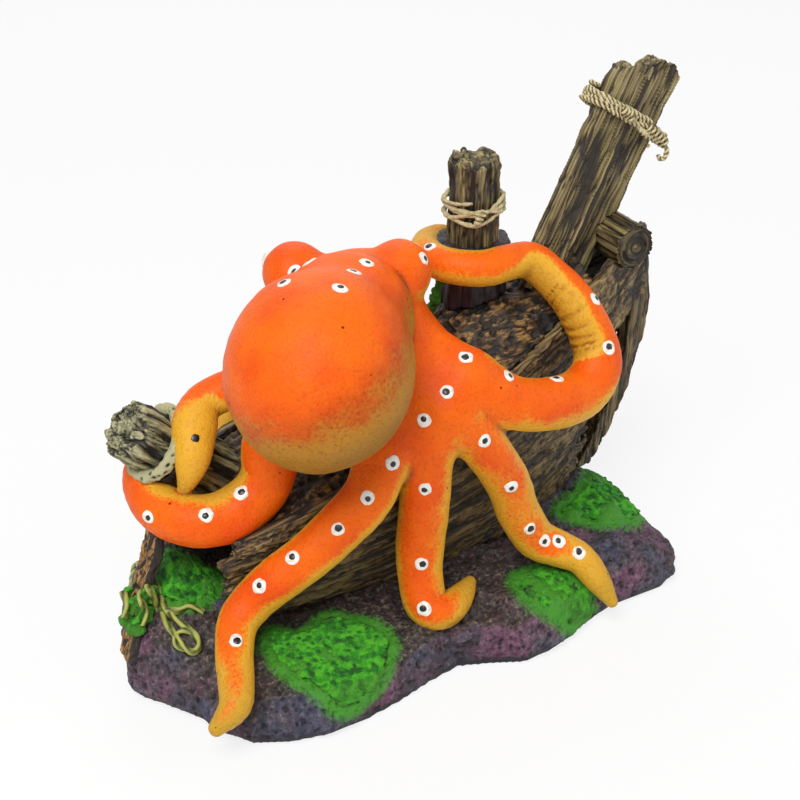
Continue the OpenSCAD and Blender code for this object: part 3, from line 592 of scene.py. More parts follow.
@dataclass(frozen=True)
class PittedRock(Finish):
    """Resin cast from pumice, painted purple grey, with a black rim, open pits and dabs of pink and blue."""

    stone: str = "#5A4A55"
    light: str = "#8E7E88"
    dark: str = "#1B1619"
    pink: str = "#95517A"
    blue: str = "#4C5878"
    moss: str = "#3C8A1C"
    silt: str = "#16120F"
    crumb: str = "#4A3F35"
    fleck: str = "#8F8068"
    rim: str = "#17121A"
    pit: float = 1.7
    grit: float = 1.3
    cloud: float = 9.0
    dab: float = 14.0

    def material(self) -> Paint:
        """The rock."""
        material, tree, body, place = self.start()
        spot = place.outputs["Object"]
        pits = add_node(tree, "ShaderNodeAttribute", attribute_name="pit")
        mossy = add_node(tree, "ShaderNodeAttribute", attribute_name="mossy")
        rim = add_node(tree, "ShaderNodeAttribute", attribute_name="rim")
        cloud = add_node(tree, "ShaderNodeTexNoise",
                         {"Scale": per(self.cloud), "Detail": 6.0, "Roughness": 0.65}, {"Vector": spot})
        cells = add_node(tree, "ShaderNodeTexVoronoi", {"Scale": per(self.pit)}, {"Vector": spot})
        hole = add_node(tree, "ShaderNodeMapRange", {"From Min": 0.12, "From Max": 0.42},
                        {"Value": cells.outputs["Distance"]})
        fleck = add_node(tree, "ShaderNodeTexNoise",
                         {"Scale": per(self.grit), "Detail": 4.0, "Roughness": 0.75}, {"Vector": spot})
        level = add_node(tree, "ShaderNodeMix", {0: 0.62}, {2: cloud.outputs["Fac"], 3: fleck.outputs["Fac"]},
                         data_type="FLOAT")
        tone = shade(add_node(tree, "ShaderNodeValToRGB", {}, {"Fac": level.outputs[0]}),
                     (0.45, self.dark), (0.55, self.stone), (0.67, self.light))
        dabs = add_node(tree, "ShaderNodeTexNoise", {"Scale": per(self.dab), "Detail": 2.0}, {"Vector": spot})
        hue = shade(add_node(tree, "ShaderNodeValToRGB", {}, {"Fac": dabs.outputs["Fac"]}),
                    (0.36, self.blue), (0.5, self.stone), (0.62, self.pink))
        tinted = add_node(tree, "ShaderNodeMix", {0: 0.3}, {6: tone, 7: hue}, data_type="RGBA")
        # Level ground in the wreck's shelter is black silt with tan drybrushed flecks
        soil = add_node(tree, "ShaderNodeAttribute", attribute_name="soil")
        silt = shade(add_node(tree, "ShaderNodeValToRGB", {}, {"Fac": fleck.outputs["Fac"]}),
                     (0.42, self.silt), (0.56, self.crumb), (0.66, self.fleck))
        ground = add_node(tree, "ShaderNodeMix", {}, {0: soil.outputs["Fac"], 6: tinted.outputs[2], 7: silt},
                          data_type="RGBA")
        open_pits = add_node(tree, "ShaderNodeMath", {}, {0: hole.outputs[0], 1: pits.outputs["Fac"]},
                             operation="SUBTRACT", use_clamp=True)
        deep = add_node(tree, "ShaderNodeMix", {6: linear(self.dark)},
                        {0: open_pits.outputs[0], 7: ground.outputs[2]}, data_type="RGBA")
        green = add_node(tree, "ShaderNodeMath", {}, {0: mossy.outputs["Fac"], 1: fleck.outputs["Fac"]},
                         operation="ADD")
        strong = add_node(tree, "ShaderNodeMapRange", {"From Min": 0.95, "From Max": 1.25},
                          {"Value": green.outputs[0]})
        grown = add_node(tree, "ShaderNodeMix", {7: linear(self.moss)},
                         {0: strong.outputs[0], 6: deep.outputs[2]}, data_type="RGBA")
        edge = add_node(tree, "ShaderNodeMix", {7: linear(self.rim)},
                        {0: rim.outputs["Fac"], 6: grown.outputs[2]}, data_type="RGBA")
        tree.links.new(edge.outputs[2], body.inputs["Base Color"])
        relief = add_node(tree, "ShaderNodeMath", {1: 0.7}, {0: hole.outputs[0], 2: fleck.outputs["Fac"]},
                          operation="MULTIPLY_ADD")
        bump = add_node(tree, "ShaderNodeBump", {"Strength": 0.8, "Distance": 0.55 * MM},
                        {"Height": relief.outputs[0]})
        tree.links.new(bump.outputs[0], body.inputs["Normal"])
        return material


@dataclass(frozen=True)
class MossPaint(Finish):
    """Coarse resin grit painted vivid green over dark green, so each grain has a lit tip and a dark foot."""

    tip: str = "#4FB420"
    body: str = "#278C0E"
    foot: str = "#16500C"
    rim: str = "#3F7A1C"
    grit: float = 0.6
    patch: float = 8.0

    def material(self) -> Paint:
        """The moss."""
        material, tree, body, place = self.start()
        spot = place.outputs["Object"]
        height = add_node(tree, "ShaderNodeAttribute", attribute_name="height")
        rim = add_node(tree, "ShaderNodeAttribute", attribute_name="rim")
        grit = add_node(tree, "ShaderNodeTexNoise",
                        {"Scale": per(self.grit), "Detail": 3.0, "Roughness": 0.6}, {"Vector": spot})
        cloud = add_node(tree, "ShaderNodeTexNoise", {"Scale": per(self.patch), "Detail": 2.0},
                         {"Vector": spot})
        level = add_node(tree, "ShaderNodeMix", {0: 0.5}, {2: grit.outputs["Fac"], 3: height.outputs["Fac"]},
                         data_type="FLOAT")
        tone = shade(add_node(tree, "ShaderNodeValToRGB", {}, {"Fac": level.outputs[0]}),
                     (0.3, self.foot), (0.48, self.body), (0.64, self.tip))
        patch = add_node(tree, "ShaderNodeMath", {1: 1.3}, {0: cloud.outputs["Fac"]}, operation="MULTIPLY")
        edge = add_node(tree, "ShaderNodeMath", {}, {0: rim.outputs["Fac"], 1: patch.outputs[0]},
                        operation="MULTIPLY", use_clamp=True)
        grown = add_node(tree, "ShaderNodeMix", {7: linear(self.rim)}, {0: edge.outputs[0], 6: tone},
                         data_type="RGBA")
        tree.links.new(grown.outputs[2], body.inputs["Base Color"])
        bump = add_node(tree, "ShaderNodeBump", {"Strength": 0.9, "Distance": 0.6 * MM},
                        {"Height": grit.outputs["Fac"]})
        tree.links.new(bump.outputs[0], body.inputs["Normal"])
        return material


@dataclass(frozen=True)
class RopePaint(Finish):
    """Cast rope, drybrushed cream on the strands over a dark brown wash between them."""

    strand: str = "#D8CBA0"
    flank: str = "#8E7C50"
    gap: str = "#2E2413"
    dirt: float = 1.6

    def material(self) -> Paint:
        """The rope or vine."""
        material, tree, body, place = self.start()
        lay = add_node(tree, "ShaderNodeAttribute", attribute_name="lay")
        dirt = add_node(tree, "ShaderNodeTexNoise",
                        {"Scale": per(self.dirt), "Detail": 4.0, "Roughness": 0.7},
                        {"Vector": place.outputs["Object"]})
        level = add_node(tree, "ShaderNodeMix", {0: 0.5}, {2: lay.outputs["Fac"], 3: dirt.outputs["Fac"]},
                         data_type="FLOAT")
        tone = shade(add_node(tree, "ShaderNodeValToRGB", {}, {"Fac": level.outputs[0]}),
                     (0.22, self.gap), (0.4, self.flank), (0.62, self.strand))
        tree.links.new(tone, body.inputs["Base Color"])
        bump = add_node(tree, "ShaderNodeBump", {"Strength": 0.6, "Distance": 0.25 * MM},
                        {"Height": dirt.outputs["Fac"]})
        tree.links.new(bump.outputs[0], body.inputs["Normal"])
        return material


FINISHES = {
    "skin": OctopusPaint("Airbrushed skin", 0.44, coat=0.03),
    "white": Enamel("White enamel", 0.35),
    "black": Enamel("Black enamel", 0.3, colour="#070606", worn="#141110"),
    "rock": PittedRock("Painted pumice", 0.68),
    "moss": MossPaint("Green grit", 0.85, sheen=0.02),
    "rope": RopePaint("Cast rope", 0.7),
    "cloth": RopePaint("Old cloth", 0.8, strand="#B4B088", flank="#767A54", gap="#2A2A18"),
    "vine": RopePaint("Painted vine", 0.5, strand="#A9AC54", flank="#6F7A2C", gap="#232B0E"),
    "hull": WeatheredWood("Washed wood", 0.62, grain=0.7, grain_run=22),
    "deck": WeatheredWood("Rotten wood", 0.66, groove="#15100A", flank="#4E3820", ridge="#B08C52",
                          wash_share=0.3),
    "post": WeatheredWood("Split wood", 0.6, flank="#5C4E30", ridge="#A99A66", wash="#7B7F4E",
                          wash_share=0.6),
    "timber": WeatheredWood("Split timber", 0.6, groove="#2A2013", flank="#77673F", ridge="#B9AA7C",
                            wash="#7B7F4E", wash_share=0.6, grain=0.6, grain_run=50),
    "pale": WeatheredWood("Bleached wood", 0.6, groove="#1C1A12", flank="#7E7A58", ridge="#C6C39C"),
    "tan": WeatheredWood("Broken wood", 0.6, flank="#8A6330", ridge="#C99A55"),
    # Dark wood on the collar; on the stump, its near black is also painted shadow under the wrapped arm
    "dark": WeatheredWood("Burnt collar", 0.55, groove="#0D090C", flank="#241A20", ridge="#332830"),
}


# The studio


@dataclass
class Studio:
    """The pale floor, the soft lights and the camera at the photograph's angle."""

    target: Place = (-0.00163, 0.00268, 0.058)
    distance: float = 0.422
    azimuth: float = -30.0
    elevation: float = 30.0
    lens: float = 70.2
    sensor: float = 36.0
    picture: int = 800
    world_level: float = 0.27
    # Each lamp's name, place, size and power, and the place that they point at
    lamps: tuple = (
        ("Key", (-0.5, -0.45, 1.0), 0.6, 11.0),
        ("Fill", (0.75, -0.5, 0.5), 0.8, 1.7),
        ("Rim", (0.3, 0.8, 0.9), 0.7, 3.2),
    )
    lit: Place = (0, 0, 0.05)
    # The floor: its width, how much of it glows to the camera, its paint and its level
    floor_size: float = 12.0
    floor_glow: float = 0.8
    floor_paint: Colour = (0.93, 0.93, 0.93, 1)
    floor_level: float = -0.0002

    def axes(self) -> tuple[Array, Array, Array]:
        """The camera's right, up and back directions."""
        a, e = math.radians(self.azimuth), math.radians(self.elevation)
        back = np.array([math.sin(a) * math.cos(e), -math.cos(a) * math.cos(e), math.sin(e)])
        right = unit(np.cross([0, 0, 1], back))
        return right, np.cross(back, right), back

    def eye(self) -> Vector:
        """The camera's place, in metres."""
        return Vector(np.array(self.target) + self.distance * self.axes()[2])

    def ray(self, x: float, y: float) -> Vector:
        """The direction in which a pixel of the picture looks."""
        right, up, back = self.axes()
        span = self.sensor / self.lens / self.picture
        half = self.picture / 2
        return Vector(unit((x - half) * span * right - (y - half) * span * up - back))

    def seen(self, trees: list[BVHTree], x: float, y: float) -> tuple[Vector, Vector] | None:
        """The place and the normal that a pixel shows on the nearest of some meshes, in metres."""
        hits = [tree.ray_cast(self.eye(), self.ray(x, y)) for tree in trees]
        hits = [hit for hit in hits if hit[0] is not None]
        return min(hits, key=lambda hit: hit[3])[:2] if hits else None

    def build(self) -> None:
        """Sets up the camera, the lights, the world and the floor."""
        scene = bpy.context.scene
        camera = added("Camera", bpy.data.cameras.new("Camera"))
        camera.data.lens = self.lens
        camera.data.sensor_width = self.sensor
        camera.data.clip_start = 0.01
        camera.matrix_world = Matrix.Translation(self.eye()) @ Matrix(self.axes()).transposed().to_4x4()
        scene.camera = camera
        scene.view_settings.view_transform = "Standard"
        for name, place, size, power in self.lamps:
            lamp = added(name, bpy.data.lights.new(name, "AREA"))
            lamp.data.size = size
            lamp.data.energy = power
            lamp.location = place
            lamp.rotation_euler = (Vector(self.lit) - Vector(place)).to_track_quat("-Z", "Y").to_euler()
        self.dress_world(scene)
        self.lay_floor()

    def dress_world(self, scene: bpy.types.Scene) -> None:
        """White to the camera and in reflections, and a plain level of light elsewhere."""
        scene.world = bpy.data.worlds.new("Studio")
        scene.world.use_nodes = True
        tree = scene.world.node_tree
        level = add_node(tree, "ShaderNodeMix", {2: self.world_level, 3: 1.0}, {0: self.seen_white(tree)},
                         data_type="FLOAT")
        background = tree.nodes["Background"]
        background.inputs["Color"].default_value = WHITE
        tree.links.new(level.outputs[0], background.inputs["Strength"])

    @staticmethod
    def seen_white(tree: bpy.types.NodeTree) -> Socket:
        """1 on what the camera sees directly, in a gloss or through glass."""
        path = add_node(tree, "ShaderNodeLightPath")
        most = path.outputs["Is Camera Ray"]
        for kind in ("Is Glossy Ray", "Is Transmission Ray"):
            larger = add_node(tree, "ShaderNodeMath", {}, {0: most, 1: path.outputs[kind]},
                              operation="MAXIMUM")
            most = larger.outputs[0]
        return most

    def lay_floor(self) -> None:
        """A wide white sheet that keeps a faint shadow."""
        bpy.ops.mesh.primitive_plane_add(size=self.floor_size, location=(0, 0, self.floor_level))
        floor = bpy.context.object
        floor.name = "Floor"
        material = bpy.data.materials.new("White sweep")
        material.use_nodes = True
        tree = material.node_tree
        body = tree.nodes["Principled BSDF"]
        for socket, value in (("Base Color", self.floor_paint), ("Roughness", 0.9),
                              ("Specular IOR Level", 0.1)):
            body.inputs[socket].default_value = value
        glow = add_node(tree, "ShaderNodeEmission", {"Color": WHITE, "Strength": 1.0})
        share = add_node(tree, "ShaderNodeMath", {1: self.floor_glow}, {0: self.seen_white(tree)},
                         operation="MULTIPLY")
        mixed = add_node(tree, "ShaderNodeMixShader", {},
                         {0: share.outputs[0], 1: body.outputs[0], 2: glow.outputs[0]})
        tree.links.new(mixed.outputs[0], tree.nodes["Material Output"].inputs["Surface"])
        floor.data.materials.append(material)


# The wreck's wood


def carved(piece: Piece, grain: Array, depth: float, width: float, seed: int) -> None:
    """Cuts long grooves along the grain, and keeps the grain and the grooves for the finish.

    Args:
        piece: An evenly meshed piece.
        grain: Each vertex's place in the wood's own frame, along the grain first.
        depth: The deepest groove.
        width: The width of a groove.
        seed: Which of the random patterns to cut.
    """
    stretch = np.array([width * 11, width, width])
    broad = layered(grain / (3.1 * stretch), seed + 5, 2)
    groove = np.clip(1 - np.abs(layered(grain / stretch, seed, 2)) / 0.3, 0, 1) ** 1.4
    deep = np.clip(1 - np.abs(broad) / 0.2, 0, 1)
    store(piece, "grain", grain)
    store(piece, "groove", np.clip(groove * 0.6 + deep * 0.8, 0, 1))
    rough = layered(points_of(piece) / 2.4, seed + 9, 2)
    push(piece, depth * (0.5 * broad + 0.3 * rough - 0.9 * groove - 1.1 * deep))


def darken(piece: Piece, share: Array) -> None:
    """Darkens part of a carved piece towards the groove colour, by a share at each vertex: painted shade in
    the hull, under the deck and along a timber's edge.
    """
    held = read(piece.data.attributes["groove"].data, "value", 1)[:, 0]
    store(piece, "groove", np.maximum(held, 1.2 * share))


@dataclass
class Hull:
    """The clinker hull: six strakes a side, the stem, its log and the broken end plank."""

    paints: dict[str, Paint]
    length: float = 160.0
    start: float = -62.0
    keel_low: float = 6.5
    keel_rise: float = 18.7
    rail_low: float = 41.5
    rail_rise: float = 52.0
    girth: float = 55.0
    voxel: float = 0.55
    groove: float = 0.5
    # How far the broken ends splinter, on the near side's lower strakes and elsewhere
    splinter: float = 6.0
    short_splinter: float = 2.5
    # Strakes' ends past this place stay whole
    whole_past: float = 78.0
    # The growth rings on the log's ends: their gap, and how high they stand
    ring_gap: float = 1.7
    ring_rise: float = 0.35

    def frame_of(self, points: Array) -> tuple[Array, Array]:
        """Where points are on the hull.

        Args:
            points: Places in millimetres.

        Returns:
            The station from 0 at the broken end to 1 at the stem, and the level from the keel to the rail.
        """
        x, z = points[:, 0] - SHIFT[0], points[:, 2]
        level = np.full(len(points), 0.5)
        for _ in range(4):
            stem = (0.431 + 0.224 * level - 0.18 * level ** 2) * self.length
            t = np.clip((x - self.start) / (stem - self.start), -0.1, 1.15)
            keel = self.keel_low + self.keel_rise * t ** 4
            rail = self.rail_low + self.rail_rise * (0.577 * t + 0.423 * t ** 2)
            level = np.clip((z - keel) / (rail - keel), -0.4, 1.4)
        return t, level

    def build(self) -> None:
        """Builds and dresses the strakes, the stem, the log and the end plank."""
        for side, index in itertools.product(("near", "far"), range(1, 7)):
            self.strake(side, index)
        stem = skin_of("stem_post", 0.5)
        carved(stem, points_of(stem)[:, [2, 0, 1]], 0.55, 1.3, 71)
        finished(stem, self.paints["hull"], "hull_wood", "stem_post")
        self.log()
        plank = skin_of("end_plank", 0.45)
        carved(plank, points_of(plank)[:, [2, 1, 0]], 0.5, 1.2, 97)
        darken(plank, eased(-normals_of(plank)[:, 1], 0.15, 0.6))
        finished(plank, self.paints["tan"], "hull_wood", "end_plank")

    def strake(self, side: str, index: int) -> None:
        """One plank of the hull, with splintered ends."""
        node = f"strake_{side}_{index}"
        piece = skin_of(node, self.voxel)
        points = points_of(piece)
        t, level = self.frame_of(points)
        # Splinters: the broken ends draw back by uneven amounts along the grain
        tooth = 0.5 + 0.5 * noise(np.column_stack([level * self.girth / 1.3, points[:, 1] / 1.1, 0 * t]),
                                  40 + index)
        reach = self.splinter if side == "near" and index < 5 else self.short_splinter
        for end in (points[:, 0].max(), points[:, 0].min()):
            if abs(end) <= self.whole_past:
                near = np.clip(1 - np.abs(points[:, 0] - end) / (2.2 * reach), 0, 1)
                points[:, 0] -= np.sign(end - points[:, 0].mean()) * reach * tooth ** 2 * near
        move_to(piece, points)
        t, level = self.frame_of(points)
        grain = np.column_stack([t * self.length, level * self.girth, points[:, 1]])
        carved(piece, grain + [0, 0, 17 * index], self.groove, 0.95, 10 * index + (side == "far"))
        # Painted shade on the strake's inner face, inside the hull
        darken(piece, eased(normals_of(piece)[:, 1] * (1 if side == "near" else -1), 0.2, 0.7))
        finished(piece, self.paints["hull"], "hull_wood", node)

    def log(self) -> None:
        """The log at the stem head, with growth rings on its ends."""
        piece = skin_of("stem_log", 0.4)
        points = points_of(piece)
        axis = (points.min(0) + points.max(0)) / 2
        out = points[:, [0, 2]] - axis[[0, 2]]
        radius = np.linalg.norm(out, axis=1)
        face = np.abs(normals_of(piece)[:, 1]) > 0.75
        rings = np.column_stack([np.arctan2(out[:, 1], out[:, 0]) * 4, radius * 1.4, points[:, 1] * 0.2])
        grain = np.where(face[:, None], rings, points[:, [1, 0, 2]])
        wave = -self.ring_rise * np.cos(radius * 2 * math.pi / self.ring_gap)
        points[:, 1] += np.where(face & (points[:, 1] < axis[1]), wave, 0)
        move_to(piece, points)
        carved(piece, grain, 0.5, 1.2, 83)
        finished(piece, self.paints["post"], "post_wood", "stem_log")


@dataclass
class Deck:
    """The rotten deck with its mound, and the stump under the wrapped arm."""

    paints: dict[str, Paint]
    voxel: float = 0.6
    stump_voxel: float = 0.5
    pit_gap: float = 3.0
    stump_axis: Place = (26, 8, 0)
    # The stump's lip: the levels that it starts and is whole at, how far it stands out and how much it rises
    lip_levels: tuple = (94.6, 95.6)
    lip_reach: float = 1.6
    lip_rise: float = 0.9

    def build(self) -> None:
        """Builds and dresses the deck and the stump."""
        piece = skin_of("deck", self.voxel)
        points, normals = points_of(piece), normals_of(piece)
        pits = pitted(points, self.pit_gap, 0.42, 0.25, 5)
        crumbs = 0.7 * layered(points / 4.5, 7, 3) - 0.9 * pits
        points += normals * (eased(normals[:, 2], -0.2, 0.4) * crumbs)[:, None]
        move_to(piece, points)
        carved(piece, points * [3.5, 1, 1], 0.45, 1.3, 33)
        # Painted shade on the deck's undersides; its pits are darker too
        darken(piece, np.maximum(pits, eased(-normals[:, 2], 0.1, 0.6)))
        finished(piece, self.paints["deck"], "deck_wood", "deck")
        self.stump()

    def stump(self) -> None:
        """The stump, with a dark lip that stands out round the post's foot."""
        piece = skin_of("bollard_stump", self.stump_voxel)
        points = points_of(piece)
        out = unit((points - SHIFT - self.stump_axis) * [1, 1, 0])
        lip = eased(points[:, 2], *self.lip_levels)
        points += out * (self.lip_reach * lip)[:, None]
        points[:, 2] += self.lip_rise * lip
        move_to(piece, points)
        carved(piece, points[:, [2, 0, 1]], 0.4, 1.3, 35)
        # The stump's near-black finish is dark wood deepened by painted shadow under the wrapped arm
        finished(piece, self.paints["dark"], "deck_wood", "bollard_stump")


@dataclass
class Post:
    """One leaning or upright piece of round or split wood."""

    node: str
    paint: str
    foot: Place
    way: Place
    length: float
    seed: int
    splinter: float = 2.2
    tooth: float = 1.6
    depth: float = 0.6
    width: float = 1.25
    voxel: float = 0.42
    slot: str = "post_wood"
    # Past this much to one side the wood carries painted shade
    shaded_side: float = 99.0

    def build(self, paints: dict[str, Paint]) -> None:
        """Builds and dresses it.

        Args:
            paints: The finishes by their names.
        """
        piece = skin_of(self.node, self.voxel)
        points = points_of(piece)
        way = unit(np.array(self.way))
        side = unit(np.cross(way, [0, 1, 0]))
        grain = (points - np.array(self.foot) - SHIFT) @ np.stack([way, side, np.cross(way, side)]).T
        jag = 0.5 + 0.5 * noise(np.column_stack([grain[:, 1:] / self.tooth, 0 * grain[:, 0]]), self.seed + 3)
        top = eased(grain[:, 0], self.length - 3 * self.splinter, self.length)
        move_to(piece, points - way * (self.splinter * top * jag ** 1.5)[:, None])
        carved(piece, grain, self.depth, self.width, self.seed)
        # Painted shade along one side, where the wide timber lies against the side timber
        darken(piece, eased(-grain[:, 1], self.shaded_side - 0.8, self.shaded_side))
        finished(piece, paints[self.paint], self.slot, self.node)


@dataclass
class Lashing:
    """A rope lashing: several laid strands wound round a post, which wander and cross."""

    node: str
    paint: str
    centre: Place
    way: Place
    side: Place
    half_wide: float
    half_deep: float
    spread: float
    loops: float
    strands: int
    diameter: float
    wander: float
    lobes: int
    seed: int
    box_power: float = 2.0
    lay: float = 4.2
    uneven: float = 0.12
    worn: bool = False
    # The points of each loose tail, and each knot's two ends and its radius
    tails: tuple = ()
    knots: tuple = ()
    knot_points: int = 90

    def knot(self, low: Place, high: Place, radius: float) -> Array:
        """The points of a strand coiled along a short line, as a knot."""
        low, high = np.array(low), np.array(high)
        turn = np.linspace(0, 2 * math.pi * np.linalg.norm(high - low) / (1.3 * self.diameter),
                           self.knot_points)
        ahead = unit(high - low)
        side = np.cross(ahead, [0, 1, 0])
        coil = np.cos(turn)[:, None] * side + 0.6 * np.sin(turn)[:, None] * np.cross(ahead, side)
        return low + SHIFT + np.linspace(0, 1, self.knot_points)[:, None] * (high - low) + radius * coil

    def route(self, strand: int) -> Array:
        """The points of one strand."""
        way, side = unit(np.array(self.way)), unit(np.array(self.side))
        up = np.cross(way, side)
        turn = np.linspace(0, 2 * math.pi * self.loops, int(70 * self.loops)) + 2.1 * strand
        wide, deep, power = self.half_wide, self.half_deep, self.box_power
        across, along = np.abs(np.cos(turn)) / wide, np.abs(np.sin(turn)) / deep
        reach = (across ** power + along ** power) ** (-1 / power)
        drift = np.column_stack([turn / 1.3, np.full_like(turn, 7.3 * strand), 0 * turn])
        share = np.linspace(-0.5, 0.5, len(turn)) * (1 if strand % 2 else -1)
        rise = self.spread * share + self.wander * noise(drift, self.seed)
        reach = reach + self.diameter * (0.42 + 0.3 * noise(drift + 3.7, self.seed + 1) + 0.25 * (strand % 2))
        round_post = np.cos(turn)[:, None] * side + np.sin(turn)[:, None] * up
        return np.array(self.centre) + SHIFT + reach[:, None] * round_post + rise[:, None] * way

    def build(self, paints: dict[str, Paint]) -> None:
        """Builds and dresses it.

        Args:
            paints: The finishes by their names.
        """
        routes = [self.route(k) for k in range(self.strands)]
        routes += [smooth_route(np.array(tail) + SHIFT, 6) for tail in self.tails]
        routes += [self.knot(*knot) for knot in self.knots]
        routes = [even_route(route) for route in routes]
        radii = [self.diameter / 2 * (1 + self.uneven * noise(r / 1.3, self.seed + 2)) for r in routes]
        piece = swept(self.node.capitalize(), routes, radii, self.lobes, self.lay)
        if self.worn:
            remeshed(piece, 0.36)
            points = points_of(piece)
            pits = pitted(points, 2.1, 0.42, 0.2, self.seed)
            push(piece, 0.3 * layered(points / 1.6, 9, 2) - 0.8 * pits)
            store(piece, "lay", 0.9 - pits)
        finished(piece, paints[self.paint], "rope", self.node)


LEFT_WAY = (-0.749, 0.0, 0.663)
POSTS = (
    Post("bollard_right", "post", (26, 8, 96.9), (0, 0, 1), 25, 11, depth=0.7, width=1.1),
    Post("bollard_left", "pale", (-52, 10, 47), LEFT_WAY, 32, 12, depth=0.9),
    Post("collar_left", "dark", (-52, 10, 47), LEFT_WAY, 99, 13, depth=0.3, slot="collar"),
    Post("timber_wide", "timber", (43.52, 3.5, 80.4), (0.438, 0, 0.899), 66, 14, 1.3, width=0.8,
         shaded_side=4.5),
    Post("timber_side", "timber", (53.25, 6.5, 78), (0.469, 0, 0.883), 67.9, 15, 1.3, width=0.8),
)
LASHINGS = (
    Lashing("lashing_right", "rope", (26, 8, 107.8), (0, 0, 1), (0, 1, 0), 7.4, 7.4, 4.5, 1.4, 4, 0.95, 2.3,
            0, 3, uneven=0.5, knots=(((22, 0.2, 105.5), (24.5, -0.2, 109), 0.8),)),
    Lashing("lashing_left", "cloth", (-66.9, 10, 60.4), LEFT_WAY, (0, 1, 0), 7.4, 7.4, 0.6, 1.1, 1, 3.6, 0.4,
            0, 5, worn=True),
    Lashing("lashing_timbers", "rope", (72.3, 5.2, 124.8), (0.588, 0, 0.809), (0.809, 0, -0.588), 12.9, 5.4,
            3.4, 1.5, 4, 1.25, 1.8, 2, 7, box_power=5, lay=3.2, uneven=0.3,
            knots=(((75.2, -1, 122.3), (82.2, -0.6, 116.6), 1.1),
                   ((66, -1.4, 129), (69.6, -1.4, 126.4), 0.9)),
            tails=(((81, -0.6, 117.4), (82.6, -1, 115), (82, -1.2, 112.8), (80.6, -1, 112.4),
                    (80, -0.6, 113.6)),)),
)


# Rock and growth


@dataclass
class Rock:
    """The pitted rock and its loose chips."""

    paint: Paint
    voxel: float = 0.78
    chip_voxel: float = 0.35
    pit_gap: float = 3.4
    # How far the moss's green spreads onto the rock, and how much of the level ground is silt
    spread: float = 8.0
    silt: float = 0.85

    def build(self, pads: list[Piece]) -> None:
        """Builds and dresses the rock.

        Args:
            pads: The moss pads, whose green spreads onto the rock round them.
        """
        piece = skin_of("rock_base", self.voxel)
        points, normals = points_of(piece), normals_of(piece)
        pits = pitted(points, self.pit_gap, 0.36, 0.28, 3)
        small = pitted(points, self.pit_gap * 0.5, 0.34, 0.25, 13)
        lumps = 0.8 * layered(points / 11, 21, 2) + 0.55 * layered(points / 3.2, 24, 3)
        # The rock stays flat underneath
        points += normals * (eased(points[:, 2], 0.5, 2.5) * (lumps - 1.3 * pits - 0.6 * small))[:, None]
        points[:, 2] = np.maximum(points[:, 2], 0)
        move_to(piece, points)
        trees = [tree_of(pad) for pad in pads]
        gap = np.array([min(tree.find_nearest(Vector(p * MM))[3] for tree in trees) for p in points]) / MM
        store(piece, "mossy", np.clip(1 - gap / self.spread, 0, 1))
        level = eased(normals[:, 2], 0.45, 0.85) * (1 - eased(points[:, 0] + 9 * noise(points / 14, 8), 15,
                                                              60))
        store(piece, "soil", self.silt * level)
        store(piece, "pit", np.clip(pits + 0.7 * small, 0, 1))
        wave = 2.2 + 1.1 * noise(points / [6, 6, 50], 31)
        store(piece, "rim", 1 - eased(points[:, 2], wave.min() * 0.4, 3.4) * (points[:, 2] > wave * 0.6))
        finished(piece, self.paint, "rock", "rock_base")
        chips = skin_of("pebbles", self.chip_voxel)
        push(chips, 0.35 * layered(points_of(chips) / 1.8, 4, 2))
        for name in ("mossy", "pit", "rim", "soil"):
            store(chips, name, np.zeros(len(chips.data.vertices)))
        finished(chips, self.paint, "rock", "pebbles")


